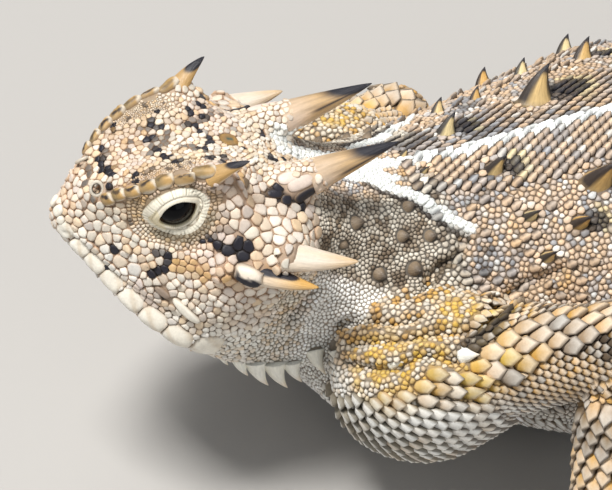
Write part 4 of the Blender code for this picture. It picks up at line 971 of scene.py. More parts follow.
def occipital_tone(t, angle, number):
    """Cream at the root, ochre with brown streaks beyond, and blue-black above, widening to the tip."""
    tone = mixed(PINKISH, OCHRE, 0.2 + 0.6 * ramp(t - 0.12 * np.sin(angle), 0.05, 0.4))
    tone = mixed(tone, UMBER, 0.15 + 0.1 * np.sin(5 * angle + 6 * t))
    streaks = ramp(np.sin(7 * angle + 2 * np.sin(3 * angle) + 2.5 * t), 0.35, 0.9) * ramp(t, 0.08, 0.4)
    tone = mixed(tone, UMBER, streaks * 0.65)
    tone = mixed(tone, TAN, ramp(np.sin(angle), 0.2, 0.9) * 0.5)
    line = np.exp(-(((angle - 2.95 + 0.1 * t) / 0.17) ** 2)) * ramp(t, 0.22, 0.4)
    dark = np.maximum(ramp(t + 0.22 * np.sin(angle + 0.2), 0.58, 0.80), line)
    return mixed(tone, BLUE_BLACK, dark)


def third_tone(t, angle, number):
    """White, warming to ochre near the tip."""
    return mixed(IVORY, OCHRE, 0.08 + 0.5 * ramp(t, 0.35, 1.0) + 0.1 * np.sin(5 * angle))


def second_tone(t, angle, number):
    """White and ochre with a black streak along the upper outer side."""
    tone = mixed(IVORY, OCHRE, 0.2 + 0.7 * ramp(t, 0.2, 0.9) + 0.2 * np.sin(angle))
    streak = np.exp(-(((np.mod(angle - 1.9 + 0.9 * t + math.pi, 2 * math.pi) - math.pi) / 0.8) ** 2))
    return mixed(tone, BLUE_BLACK, ramp(streak * (1 - ramp(t, 0.6, 0.8)), 0.35, 0.6))


def brow_tone(t, angle, number):
    """Tan and ochre, pale below, with a black streak above and a black tip."""
    tone = mixed(OCHRE, TAN, 0.4 + 0.4 * np.sin(angle))
    tone = mixed(tone, CREAM, ramp(-np.sin(angle), 0.2, 0.9) * 0.6)
    return mixed(tone, BLUE_BLACK, ramp(t + 0.25 * np.sin(angle), 0.66, 0.78))


HORN_FORMS = {  # power of the taper, flatness, bend at the tip in the head's frame, colour
    "occipital_horn": (0.82, 0.92, (0.0, 0.1, 0.05), occipital_tone),
    "brow_horn": (0.75, 0.85, (0.0, 0.22, 0.0), brow_tone),
    "temporal_horn_3": (0.72, 0.72, (-0.05, 0.1, 0.08), third_tone),
    "temporal_horn_2": (0.72, 0.75, (-0.05, 0.1, 0.1), second_tone),
}
BARE_SHARE = 0.72  # of a long horn's scaly root, where its bare keratin starts
for name, (power, flat, bend, tone) in HORN_FORMS.items():
    root, tip, radius, held = HORNS[name]
    root, tip = np.array(root), np.array(tip)
    way = unit(tip - root)
    long_horn = name == "occipital_horn"
    start = root + (held * BARE_SHARE if long_horn else -0.08) * (tip - root)
    wide = radius * (1 - held * BARE_SHARE if long_horn else 1.0) ** power * 0.97
    for side in (LEFT, RIGHT):
        first, last = (HEAD_TURN @ ((way + sign * np.array(bend)) * (side, 1, 1)) for sign in (-1, 1))
        made = spikes(
            f"{name}_{SIDES[side]}_horn", [on_side(start, side)], [first], [last],
            [np.linalg.norm(tip - start)], [wide], tone, sides=48, rings=40, power=power, flat=flat,
            edge=0.04, ribs=0.012, flare=0.0, upward=[HEAD_TURN @ (0.15 * side, 0, 1)])
        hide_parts(f"{name}_{SIDES[side]}")


def spine_tone(t, angle, number):
    """Yellow-ochre in front, black along both ridges and at the tip."""
    warm = mixed(PALE_YELLOW, OCHRE, 0.45 + 0.4 * np.sin(number * 2.4) + 0.3 * t)
    tone = mixed(UMBER, warm, 0.2 + ramp(t, 0.0, 0.2))
    ridge = ramp(np.abs(np.cos(angle)) + 0.15 * t, 0.66, 0.82) * ramp(t, 0.0, 0.12)
    return mixed(tone, BLUE_BLACK, np.maximum(ridge * 0.95, ramp(t, 0.66, 0.82)))


def pale_tone(t, angle, number):
    """White to ochre, for the fringes, throat and limbs."""
    tone = mixed(WHITE, PALE_YELLOW, 0.2 + 0.2 * np.sin(number * 3.1))
    return mixed(tone, OCHRE, 0.35 * ramp(t, 0.5, 1.0))


def dusky_tone(t, angle, number):
    """Umber, dark to the tip."""
    return mixed(UMBER, DARK, 0.1 + 0.75 * ramp(t, 0.35, 0.95))


def on_surface(surface, back, turn, step=0.02):
    """Places on a surface of the body, which way they face and which way leads rearward."""
    back, turn = np.asarray(back, float), np.asarray(turn, float)
    rearward = surface(back + step, turn) - surface(back - step, turn)
    around = surface(back, turn + step / 4) - surface(back, turn - step / 4)
    spots, facing, _ = settle(surface(back, turn))
    rearward = unit(rearward - facing * (rearward * facing).sum(-1, keepdims=True))
    return spots, facing, rearward


def standing(surface, rows, lean):
    """Roots and ways of spines given as (turn, back, length): they leave the skin and lean rearward."""
    rows = np.array(rows)
    spots, facing, rearward = on_surface(surface, rows[:, 1], rows[:, 0])
    lean = math.radians(lean)
    first = unit(facing + 0.15 * rearward)
    last = unit(math.cos(lean) * facing + math.sin(lean) * rearward)
    return spots - ROOT_DEPTH * facing, first, last, rows[:, 2] + ROOT_DEPTH


ROOT_DEPTH = 0.3
spine_rows, fringe_rows, tail_rows, neck_rows = [], [], [], []
FRINGES = {"upper": (0.235, 35.0, 76.0, 24, 3.2), "lower": (0.285, 41.5, 72.0, 20, 2.0)}
FRINGE_BREAKS = {LEFT: (33.0, 40.5), RIGHT: (33.0, 42.8)}
TAIL_SPINES = {"top": (0.09, 90.0, 126.0, 14, 1.7), "side": (0.235, 88.5, 129.0, 20, 2.0),
               "between": (0.165, 91.0, 122.0, 12, 1.2)}
NECK_SPINES = [(0.075, 0.35, 1.0), (0.10, 0.75, 0.9), (0.211, 0.566, 1.0), (0.168, 0.80, 1.1),
               (0.046, 0.87, 0.9), (0.088, 0.97, 0.9), (0.15, 0.25, 0.7)]
for side in (LEFT, RIGHT):
    spine_rows += [(turned(turn, side), back, length) for turn, back, length in BACK_SPINES[side] + BACK_ROWS]
    neck_rows += [(turned(turn, side), share, length) for turn, share, length in NECK_SPINES]
    low, high = FRINGE_BREAKS[side]
    for turn, start, end, count, longest in FRINGES.values():
        for number, back in enumerate(np.linspace(start, end, count)):
            if not low < back < high:
                swell = 0.72 + 0.28 * math.sin(math.pi * number / (count - 1))
                fringe_rows.append((turned(turn, side), back, longest * swell * (0.8, 1.0)[number % 2]))
    for turn, start, end, count, longest in TAIL_SPINES.values():
        tail_rows += [(turned(turn, side), back, longest * (1 - 0.72 * (back - start) / (end - start)))
                      for back in np.linspace(start, end, count)]
# surface, rows, lean, then as shares of a spine's length its room in the scales, length and radius; its form
SPINE_FORMS = {
    "back_spines": (trunk_points, spine_rows, 44, 0.33, 1.0, 0.40, spine_tone, 24, 12, 1.0, 0.72, 0.14),
    "fringe_spines": (trunk_points, fringe_rows, 48, 0.24, 1.0, 0.27, pale_tone, 12, 9, 0.95, 0.55, 0.1),
    "tail_spines": (trunk_points, tail_rows, 50, 0.3, 1.0, 0.34, spine_tone, 12, 8, 1.0, 0.8, 0.1),
    "neck_tubercles": (neck_points, neck_rows, 55, 0.5, 0.9, 0.5, dusky_tone, 14, 9, 0.75, 0.9, 0.05),
}
rooms = []  # roots of spines and the room that each keeps free of scales
for name, (surface, rows, lean, room, stretch, radius, *form) in SPINE_FORMS.items():
    roots, first, last, lengths = standing(surface, rows, lean)
    rooms.append((roots, lengths * room))
    aside = [(1.0, 0.0, 0.0)] * len(roots) if name == "back_spines" else None
    spikes(name, roots, first, last, lengths * stretch, lengths * radius, *form, upward=aside)

GULAR = [((6.6, 14.6, -10.6), 0.9), ((6.8, 16.2, -10.9), 1.6), ((6.8, 17.8, -11.3), 2.5),
         ((6.8, 19.4, -11.2), 2.7), ((6.8, 20.9, -10.9), 2.1), ((7.1, 22.6, -9.4), 1.9),
         ((8.0, 23.8, -8.2), 1.8)]
THROAT_SPIKES = [(15.0, 23.2, 17.2, 0.9), (17.2, 28.6, 18.6, 1.3)]
throat = []  # root, first way, last way and length
for side in (LEFT, RIGHT):
    for place, length in GULAR:
        outward = (0.45 if place[1] < 22 else 1.1) * side
        ways = [HEAD_TURN @ np.array(way) for way in ((outward, 0.2, -1), (outward, 1.1, -0.85))]
        throat.append((on_side(place, side), *ways, length + 0.35))
    for x, y, z, length in THROAT_SPIKES:
        throat.append(((side * x, y, z), (side * 0.75, 0.2, 0.55), (side * 0.55, 1.0, 0.3), length + 0.35))
roots, first, last, lengths = (np.array(values, float) for values in zip(*throat))
roots, facing, _ = settle(roots)
rooms.append((roots, lengths * 0.34))
spikes("throat_spikes", roots - ROOT_DEPTH * facing, first, last, lengths, lengths * 0.42, pale_tone,
       16, 12, 1.0, 0.85, 0.04)

claws = []  # root, first way and last way
for kind, side in LIMBS:
    for number in range(len(TOE_ANGLES[kind])):
        rings = parts[f"{kind} {SIDES[side]} toe {number}"]
        end = rings[-2].mean(axis=0)
        way = unit((rings[-1].mean(axis=0) - rings[-5].mean(axis=0)) * (1, 1, 0))
        claws.append((end + (0, 0, 0.12), way + (0, 0, 0.25), way * 0.9 + (0, 0, -0.62)))
roots, first, last = np.array(claws).transpose(1, 0, 2)
spikes("claws", roots, first, last, [CLAW + 0.1] * len(roots), [CLAW_RADIUS] * len(roots), dusky_tone,
       14, 10, 0.8, 1.1)

# The large plates of the head: brow scutes, the big white shields along the lower jaw, the long
# scale at the corner of the mouth, the plates at the horns' roots. Each is a domed pad of keratin.
PADS = []  # place, way, half length, half width, height, kind, in the frame of the head's left half
PAD_GAP, PATCH = 0.04, 0.0015  # the seam at a pad's edge, and half the room of a scale on the UV map
PAD_SHARES = np.array((0.90, 1.0, 0.96, 0.86, 0.68, 0.45, 0.2))  # of the outline, ring by ring
PAD_HEIGHTS = np.array((-0.5, 0.05, 0.45, 0.74, 0.92, 0.99, 1.0))
PAD_SHADES = (1.0, 0.9, 0.5, 0.12, 0, 0, 0)  # of the seam's colour
SQUARE_POWER, ROUND_POWER = 4.5, 2.7


def pad_row(points, count, sizes, height, kind):
    """Pads in a row along a line, each turned along it and given a share of it by its length."""
    lengths = np.linspace(*sizes[0], count)
    shares = (np.cumsum(lengths) - lengths / 2) / lengths.sum()
    at, ahead = through(points, shares), through(points, shares + 0.02) - through(points, shares - 0.02)
    for number, (place, way) in enumerate(zip(at, ahead)):
        a, b = (np.interp(number, (0, count - 1), pair) for pair in sizes)
        PADS.append((place, way, a, b, height, kind))


pad_row([(2.8, 2.9, 4.2), (3.58, 3.95, 5.54), (4.14, 4.87, 6.4), (4.64, 6.32, 7.5), (5.05, 8.63, 8.58),
         (5.35, 10.5, 9.3)], 7, ((0.66, 1.04), (0.68, 0.80)), 0.36, "brow")
pad_row([(1.0, 0.6, 0.4), (2.6, 2.0, -1.0), (4.3, 4.1, -2.65), (5.9, 6.15, -4.1), (7.3, 8.1, -5.2),
         (8.4, 10.3, -6.1), (8.75, 13.6, -6.9)], 8, ((0.82, 1.44), (0.70, 1.36)), 0.38, "shield")
PADS += [
    ((6.95, 8.0, -1.95), (0.8, 1.2, -0.6), 0.80, 0.36, 0.30, "grey"),
    ((8.1, 9.95, -2.95), (1.3, 2.6, -1.8), 1.62, 0.42, 0.42, "pale"),
    ((9.45, 13.9, 1.75), (0.7, 3.0, -0.8), 1.55, 0.92, 0.75, "first"),
    ((5.07, 16.2, 6.3), (0, 1, -0.1), 0.72, 0.42, 0.26, "black"),
    ((5.45, 17.15, 5.95), (0, 1, 0), 0.50, 0.48, 0.20, "black"),
    ((5.05, 18.8, 6.15), (-0.1, 1, 0.5), 1.05, 0.58, 0.20, "black"),
    ((4.85, 18.3, 7.15), (0, 1, 0.5), 1.2, 0.62, 0.13, "pink"),
    ((4.35, 17.4, 7.4), (0, 1, 0.4), 1.0, 0.60, 0.12, "pink"),
    ((0.0, 13.6, 7.6), (0, 1, 0), 0.86, 0.80, 0.2, "crown"),
    ((0.55, 0.45, 1.35), (0.4, 0.1, 1), 0.62, 0.5, 0.35, "pale"),
    ((1.0, 0.66, 0.75), (0.2, 0, 1), 0.5, 0.4, 0.3, "pale"),
]
TEAL, WARM_GREY = colour(70, 110, 104), colour(150, 132, 116)
BROW_STREAKS = (0.95, 0.8, 0.95, 0.9, 0.6, 0.9, 0.5)


def pad_tone(kind, u, v, number):
    """The colour of one pad over its length, -1 to 1, and its width."""
    if kind == "brow":
        tone = mixed(TAN, OLIVE, 0.38 + 0.25 * np.sin(number * 2.3 + 2 * u))
        tone = mixed(tone, OCHRE, ramp(u + 0.2 * v, -0.6, 0.4) * 0.45)
        tone = mixed(tone, CREAM, np.maximum(ramp(u + 0.35 * v, 0.6, 0.85), ramp(-v, 0.5, 1.0)) * 0.75)
        tone = mixed(tone, DARK, ramp(-u, 0.84, 1.0) * 0.8)
        streak = ramp(-np.abs(v - 0.4 + 0.15 * np.sin(4 * u + number)) + 0.4, 0.05, 0.25)
        streak = streak * ramp(u, -0.85, -0.4) * (1 - ramp(u, 0.5, 0.8))
        return mixed(tone, BLUE_BLACK, streak * BROW_STREAKS[number % len(BROW_STREAKS)])
    if kind == "first":
        return mixed(IVORY, BLUE_BLACK, ramp(-v + 0.15 * np.sin(u * 5), -0.15, 0.1) * ramp(u, -0.95, -0.8))
    if kind == "crown":
        tone = mixed(TAN, OCHRE, 0.5 + 0.4 * np.sin(u * 4 + v * 3))
        return mixed(tone, TEAL, 1 - ramp(np.hypot(u, v * 1.6), 0.2, 0.4))
    if kind == "shield":
        tone = mixed(CREAM, TAN, ramp(np.sin(number * 1.7 + u * 3 + v * 4), 0.3, 1.0) * 0.35)
        return mixed(tone, WHITE, ramp(-v - 0.3 * u, -0.2, 0.8) * 0.4)
    return {"grey": WARM_GREY, "pale": CREAM, "black": BLUE_BLACK, "pink": PINKISH}[kind]


def domed_pads(name, side):
    """All pads of one side as one mesh, laid on the skin.

    A pad's outline is a superellipse with the radius (|cos|^n + |sin|^n)^(-1/n), squarer on the brow and
    the jaw. Its rings run from a sunken edge to the middle, at shares of the outline and of the height.
    """
    shares, heights = PAD_SHARES, PAD_HEIGHTS
    sides = 24
    angle = np.arange(sides) / sides * 2 * math.pi
    points, tones, seams, corners, ghosts = [], [], [], [], []
    for number, (place, way, a, b, height, kind) in enumerate(PADS):
        centre, facing, _ = settle(on_side(place, side)[None])
        way = HEAD_TURN @ (np.array(way) * (side, 1, 1))
        way = unit(way - facing[0] * np.dot(way, facing[0]))
        across = np.cross(facing[0], way) * side
        square = SQUARE_POWER if kind in ("shield", "brow") else ROUND_POWER
        outline = (np.abs(np.cos(angle)) ** square + np.abs(np.sin(angle)) ** square) ** (-1 / square)
        radius = np.minimum(outline, 1.13)
        u = np.append(shares[:, None] * radius * np.cos(angle), 0)
        v = np.append(shares[:, None] * radius * np.sin(angle), 0)
        pointed = 1 + 0.25 * (kind == "shield") * np.clip(-v, 0, 1)
        spread = centre + (u * (a - PAD_GAP))[:, None] * way + (v * pointed * (b - PAD_GAP))[:, None] * across
        grounded, normals, _ = settle(spread)
        lift = np.append(np.repeat(heights, sides), 1.0) * height
        leaning = 0.35 * (kind == "brow") * np.clip(u, -1, 1) - 0.45 * (kind == "shield") * np.clip(v, -1, 1)
        lift = lift * (1 + leaning)
        points.append(grounded + lift[:, None] * unit(0.6 * facing + 0.4 * normals))
        shade = np.append(np.repeat(PAD_SHADES, sides), 0.0)
        tone = pad_tone(kind, u, v, number)
        tones.append(tone * (1 - shade[:, None]) + SEAM * shade[:, None])
        seams.append(shade)
        head = folded_head(centre)[0]
        corners.append(np.stack([0.05 + 0.9 * head[1] / 22 + u * PATCH, 0.5 + head[2] / 40 + v * PATCH], -1))
        steps = np.linspace(-1, 1, max(1, round(a / b * 1.6)))
        reach = b * 0.98
        for step in steps if len(steps) > 1 else (0.0,):
            ghosts.append([*(centre[0] + step * max(a - reach, 0) * way), reach])
    polygons = closed_faces(len(PADS), len(shares), sides, inward=side == RIGHT)
    made = make_mesh(name, np.concatenate(points), polygons, {"tone": np.concatenate(tones)},
                     {"seam": np.concatenate(seams)}, np.concatenate(corners))
    finished(made, scale_finish, "skin")
    return np.array(ghosts)


pad_ghosts = np.concatenate([domed_pads(f"head_pads_{SIDES[side]}", side) for side in (LEFT, RIGHT)])

# The eyes: a wet dark ball with a brown iris round a wide pupil, set in its socket, and a pair of
# thick pale lids round it with two rows of beads and a crease between them.
IRIS_EDGE, PUPIL_EDGE = (0.86, 0.92), (0.66, 0.70)  # angles from the middle of the cornea
EYE_SHIFT = (0.12, -0.02, 0.0)
IRIS_FIBRES = 23
IRIS_RIM, IRIS_BROWN, PUPIL_BLACK = colour(24, 18, 14), colour(52, 32, 18), colour(5, 5, 7)
LID_WHITE = colour(234, 227, 208)
LID_DROP = 0.14  # how much lower the lids lie than the eye's middle
INNER_BEADS, OUTER_BEADS = 26, 23  # in each half of the two rows round the lids
LID_STEPS = (0, 0.04, 0.12, 0.24, 0.36, 0.44, 0.52, 0.66, 0.84, 0.93, 1.0)
LID_RISES = (-0.40, -0.16, -0.01, 0.06, 0.06, 0.0, 0.05, 0.09, 0.06, -0.02, -0.3)


def eyeball(side):
    """A ball from pole to pole round the sideways axis, with a cornea bulged as a bell curve of the angle."""
    rings, sides = 40, 48
    down = np.linspace(0.01, math.pi - 0.01, rings)
    around = np.linspace(0, 2 * math.pi, sides, endpoint=False)
    cornea = 1 + 0.07 * np.exp(-((down / 0.55) ** 2))
    shape = np.stack([
        np.outer(np.cos(down) * cornea, np.ones(sides)),
        np.outer(np.sin(down), np.cos(around)),
        np.outer(np.sin(down), np.sin(around)),
    ], -1) * (EYE_RADIUS * 0.985)
    grid = on_side(np.array(EYE) + EYE_SHIFT + shape, side)
    pupil, iris = 1 - ramp(down, *PUPIL_EDGE), 1 - ramp(down, *IRIS_EDGE)
    tone = mixed(mixed(IRIS_RIM, IRIS_BROWN, iris), PUPIL_BLACK, pupil)
    fibres = 1 + 0.25 * (iris - pupil)[:, None, None] * np.sin(around * IRIS_FIBRES)[None, :, None]
    first = np.arange(sides)[None]
    polygons = [ring_faces(rings, sides), first[:, ::-1], first + (rings - 1) * sides]
    if side == RIGHT:
        polygons = [faces[:, ::-1] for faces in polygons]
    return grid.reshape(-1, 3), polygons, (tone[:, None] * fibres).reshape(-1, 3)


def eyelids(side):
    """Rings from the opening to the face, on the lid's ball or the skin, with beads as sines of the turn."""
    rows, around = 30, 150
    t = np.linspace(0, 1, rows)[:, None]
    angle = np.linspace(0, 2 * math.pi, around, endpoint=False)[None]
    corner = 0.15 * np.abs(np.cos(angle)) ** 10
    u = (EYE_OPENING[0] * (1 - t) + LID_OUTER[0] * t) * (1 + corner) * np.cos(angle)
    v = (EYE_OPENING[1] * (1 - t) + LID_OUTER[1] * t) * np.sin(angle) - LID_DROP
    ball = np.sqrt(np.maximum(LID_BALL**2 - u**2 - v**2, 0.0))
    far = 6.0  # the skin is looked for from this far out
    inward = Vector(HEAD_TURN @ (-side, 0, 0))
    hits = [skin_tree.ray_cast(Vector(spot), inward)[3]
            for spot in from_eye_plane(far, u, v, side).reshape(-1, 3).tolist()]
    ground = far - np.array([far if hit is None else hit for hit in hits]).reshape(rows, around)
    inner, outer = np.abs(np.sin(angle * INNER_BEADS)), np.abs(np.sin(angle * OUTER_BEADS + 0.8))
    rise = np.interp(t, LID_STEPS, LID_RISES)
    beads = 0.025 * inner * (ramp(t, 0.05, 0.12) - ramp(t, 0.16, 0.22))
    beads = beads + 0.06 * outer * (ramp(t, 0.48, 0.56) - ramp(t, 0.86, 0.95))
    grid = from_eye_plane(np.maximum(ball, ground) + rise + beads, u, v, side)
    tone, _ = painted(LID_WHITE, None, [
        # painted shade: umber in the crease between the two rows, and olive at the outer edge where the lid
        # sinks into the face
        (UMBER, None, np.exp(-(((t - 0.44) / 0.035) ** 2)) * 0.7),
        (TAN, None, np.exp(-(((t - 0.30) / 0.02) ** 2)) * 0.35),
        (OLIVE, None, ramp(t, 0.86, 1.0) * 0.85),
        (PALE_YELLOW, None, (1 - ramp(t, 0.02, 0.14)) * 0.7 + 0.5 * (u < -1.4) * (t < 0.6)),
        (DARK, None, 1 - ramp(t, 0.0, 0.04)),
        (OLIVE, None, (1 - outer) ** 4 * ramp(t, 0.48, 0.56) * 0.7),
        (TAN, None, (1 - inner) ** 5 * (1 - ramp(t, 0.16, 0.24)) * 0.6),
    ])
    faces = ring_faces(rows, around)
    return grid.reshape(-1, 3), [faces[:, ::-1] if side == LEFT else faces], tone.reshape(-1, 3)


for side in (LEFT, RIGHT):
    wet = Finish(f"wet eye {SIDES[side]}", Roughness=0.05, Specular_IOR_Level=0.11)
    wet.into("Base Color", wet.attribute("tone"))
    grid, polygons, tone = eyeball(side)
    made = make_mesh(f"eyeball_{SIDES[side]}", grid, polygons, {"tone": tone})
    finished(made, wet.material, "eye", f"eye_{SIDES[side]}")
    grid, polygons, tone = eyelids(side)
    made = make_mesh(f"eyelids_{SIDES[side]}", grid, polygons, {"tone": tone}, {"seam": np.zeros(len(grid))})
    finished(made, scale_finish, "skin")

# Nostrils: a raised pale ring of keratin round each pit, with painted shade on its inner side, set on
# the slope of the snout and turned up, out and forwards.
RING_RADIUS, RING_WIDTH, RING_LIFT = 0.46, 0.15, 0.36


def nostril_ring(side):
    """A torus of 36 rings with 14 sides each, a little taller than wide."""
    turns, sides = 36, 14
    centre, facing, _ = settle(on_side(np.array(NOSTRIL), side)[None])
    centre = centre[0] + RING_LIFT * facing[0]
    facing = unit(HEAD_TURN @ np.array((0.75 * side, -0.35, 0.55)))
    across = unit(np.cross(facing, (0, 0, 1)))
    upright = np.cross(across, facing)
    big, small = (np.linspace(0, 2 * math.pi, count, endpoint=False) for count in (turns, sides))
    ring = np.cos(big)[:, None] * across + 1.15 * np.sin(big)[:, None] * upright
    wide = RING_RADIUS + RING_WIDTH * np.cos(small)[None, :, None]
    points = centre + ring[:, None] * wide + RING_WIDTH * np.sin(small)[None, :, None] * facing
    here = np.arange(turns * sides).reshape(turns, sides)
    after, ahead = np.roll(here, -1, axis=1), np.roll(here, -1, axis=0)
    faces = np.stack([here, ahead, np.roll(ahead, -1, axis=1), after], -1).reshape(-1, 4)
    # the ring's inner side, towards the pit, is painted dark as the pit's shade
    tone = mixed(mixed(CREAM, UMBER, 0.45), DARK, ramp(-np.cos(small), 0.2, 0.9)[None] + 0 * big[:, None])
    return points.reshape(-1, 3), [faces], tone.reshape(-1, 3)


for side in (LEFT, RIGHT):
    grid, polygons, tone = nostril_ring(side)
    made = make_mesh(f"nostril_{SIDES[side]}", grid, polygons, {"tone": tone}, {"seam": np.zeros(len(grid))})
    finished(made, scale_finish, "skin")

# The scales: seeds set on the skin one by one, then in rows, then scattered and evened out. Each
# scale fills the room that its neighbours leave, as a closed plate, a keeled scale or a granule.
GRANULE, KEELED, PLATE, GHOST = 0, 1, 2, 3
REACH, KIND, LIFT, TIP, KEEL, TILT, SIDE_DARK, BLEACH = 3, 4, 5, 6, 7, 8, 9, 10
ROW_STEP = 0.87  # from a row of scales to the next one, as a share of the gap in the row
CLOSEST = 0.76  # the share of two reaches that the second seed has to be away, or it goes
dice = np.random.default_rng(11)
seed_sets = []


def add_seeds(points, reach, kind, lift, tip=0.0, keel=0.0, tilt=0.0, side_dark=0.0, pale=0.0):
    """Keeps seeds: how far each one reaches, its scale's kind and form, and its dark and pale ends."""
    values = np.broadcast_arrays(np.zeros(len(points)), reach, kind, lift, tip, keel, tilt, side_dark, pale)[1:]
    seed_sets.append(np.c_[points, np.stack(values, -1)])


def row_seeds(points, count, side):
    """Places along a line on one side of the head."""
    return on_side(through(points, (np.arange(count) + 0.5) / count), side)


def lattice(rings, gap, turn_range=(0.0, 1.0)):
    """Staggered rows of places round a piece of the flesh, a gap apart that changes along its length.

    Each place comes with its reach, its share of the piece's length and its turn round the piece.
    """
    middle = rings.mean(axis=1)
    travelled = np.r_[0, np.cumsum(np.linalg.norm(np.diff(middle, axis=0), axis=1))]
    low_turn, high_turn = turn_range
    found, at, number = [], 0.0, 0
    while at < travelled[-1]:
        i = np.interp(at, travelled, np.arange(len(rings)))
        low = min(int(i), len(rings) - 2)
        ring = rings[low] * (1 - i + low) + rings[low + 1] * (i - low)
        closed = np.concatenate([ring, ring[:1]])
        around = np.r_[0, np.cumsum(np.linalg.norm(np.diff(closed, axis=0), axis=1))]
        space = np.interp(at / travelled[-1], (0, 1), gap)
        count = max(5, round(around[-1] / space))
        steps = (np.arange(count) + 0.5 * (number % 2)) / count * around[-1]
        spots = np.stack([np.interp(steps, around, closed[:, k]) for k in range(3)], axis=-1)
        shares = np.interp(steps, around, np.linspace(0, 1, len(closed)))
        if low_turn < high_turn:
            keep = (shares >= low_turn) & (shares <= high_turn)
        else:
            keep = (shares >= low_turn) | (shares <= high_turn)
        reach_and_share = np.tile((space / 2, at / travelled[-1]), (count, 1))
        found.append(np.c_[spots, reach_and_share, shares][keep])
        at += space * ROW_STEP
        number += 1
    return np.concatenate(found)


def reach_at(points, piece, share, turn):
    """Half the distance between scattered scales: fine at the eye, neck and folds, coarse on the cheeks."""
    folded = folded_head(points)
    along, across, _ = eye_plane(points)
    from_eye = np.hypot(along, across)
    temple = ramp(folded[:, 1], 10, 13) * ramp(folded[:, 2], -1.5, 0.5) * ramp(folded[:, 0], 4, 6)
    size = 0.31 + 0.15 * temple + 0.08 * ramp(-folded[:, 1], -5.5, -3) * ramp(folded[:, 0], 1.5, 2.5)
    size -= 0.16 * (1 - ramp(from_eye, 2.9, 4.4)) * (folded[:, 1] < 12.5) * (folded[:, 0] > 3)
    size -= 0.09 * ramp(-folded[:, 2], 4.8, 6.0) * ramp(folded[:, 1], 11, 13)
    size -= 0.07 * ramp(folded[:, 2], 4.5, 6.0) * (1 - ramp(folded[:, 0], 3.8, 5.0))
    size = np.where((folded[:, 1] > 17) & (folded[:, 2] < 2) & (piece == HEAD), 0.19, size)
    size = np.where(piece == NECK, 0.175, size)
    size = np.where(piece == TRUNK_PIECE, 0.235, size)
    shoulder = among(piece, "arm", "bulge") & (points[:, 2] > 12)
    return np.where(piece > TRUNK_PIECE, np.where(shoulder, 0.24, 0.34), size)


def add_found(found, *form):
    """Keeps the places that lattice gives, each with its own reach, as seeds of one form."""
    add_seeds(found[:, :3], found[:, 3], *form)


add_seeds(pad_ghosts[:, :3], pad_ghosts[:, 3], GHOST, 0.0)
for roots, reaches in rooms:
    add_seeds(roots, reaches, GHOST, 0.0)
CHEEK_PLATES = np.array([  # places on the head's left half, and reach
    (4.58, 4.83, -0.66, 0.55), (5.37, 5.9, -0.86, 0.62), (2.69, 2.49, -0.32, 0.5), (3.76, 3.68, -0.43, 0.6),
    (2.36, 2.11, 0.58, 0.45), (2.85, 2.71, 0.66, 0.42), (1.97, 2.0, -0.4, 0.45), (4.84, 5.13, -1.71, 0.45),
    (6.17, 6.88, -1.47, 0.45), (8.6, 15.79, 4.58, 0.5), (7.46, 16.81, 4.99, 0.5), (8.56, 17.76, 4.13, 0.75),
    (9.62, 16.53, 4.39, 0.52), (7.23, 17.69, 4.75, 0.6), (7.74, 13.83, 4.75, 0.48), (8.71, 15.12, 3.66, 0.5),
    (7.84, 13.41, 4.23, 0.42), (7.32, 13.28, 5.15, 0.5), (6.82, 13.4, 6.07, 0.5), (7.18, 15.83, 5.22, 0.5),
])
LID_RINGS = (1.05, 1.15, 1.26, 1.38, 1.51)  # rows of fine granules round the lids, as shares of their size
for side in (LEFT, RIGHT):
    nostril = settle(on_side(np.array(NOSTRIL), side)[None])[0]
    add_seeds(nostril, 0.56, GHOST, 0.0)
    for name in ("brow_horn", "temporal_horn_3", "temporal_horn_2"):
        root, tip, radius, _ = HORNS[name]
        at_root = np.array(root) + 0.03 * (np.array(tip) - root)
        add_seeds(settle(on_side(at_root, side)[None])[0], radius * 0.7, GHOST, 0.0)
    add_seeds(row_seeds([(0.7, 0.3, 1.0), *HEAD_RAILS["upper lip"][0][1:5]], 22, side), 0.27, PLATE, 0.22)
    add_seeds(row_seeds(HEAD_RAILS["lower lip"][0][:5], 22, side), 0.25, PLATE, 0.2)
    add_seeds(on_side(CHEEK_PLATES[:, :3], side), CHEEK_PLATES[:, 3], PLATE, 0.24)
    for number, ring in enumerate(LID_RINGS):
        count = 42 + 5 * number
        angle = (np.arange(count) + 0.5 * (number % 2)) / count * 2 * math.pi
        u, v = LID_OUTER[0] * ring * np.cos(angle), LID_OUTER[1] * ring * np.sin(angle) - LID_DROP
        add_seeds(from_eye_plane(1.6 - 0.3 * number, u, v, side), 0.17, GRANULE, 0.12)
hand_set = sum(len(values) for values in seed_sets)

# larger scales round the root of each back spine
ROSETTE = 9
roots, reaches = rooms[0]
angle = np.arange(ROSETTE) / ROSETTE * 2 * math.pi
spread = np.stack([np.cos(angle), np.sin(angle), 0 * angle], -1)
ringed = roots[:, None] + spread[None] * (reaches[:, None, None] * 1.15 + 0.28)
add_seeds(ringed.reshape(-1, 3), np.repeat(0.26 + 0.08 * reaches, ROSETTE), KEELED, 0.3, 0.3, 0.5, 0.2)

trunk_rings = parts["trunk"]
stripe_end, tail_start = (
    int(TRUNK_RINGS * (back - NECK_END) / (TAIL_END - NECK_END)) for back in (112, 84))
add_found(lattice(trunk_rings[:stripe_end], (0.80, 0.76), (0.952, 0.048)), KEELED, 0.20, 0.8, 1.0, 1.1, 1.0)
add_found(lattice(trunk_rings, (0.95, 0.5), (0.29, 0.71)), KEELED, 0.22, 0.7, 0.0, 0.8)
add_found(lattice(trunk_rings[tail_start:], (0.95, 0.5)), KEELED, 0.22, 0.8, 1.0, 1.0, 0.5)
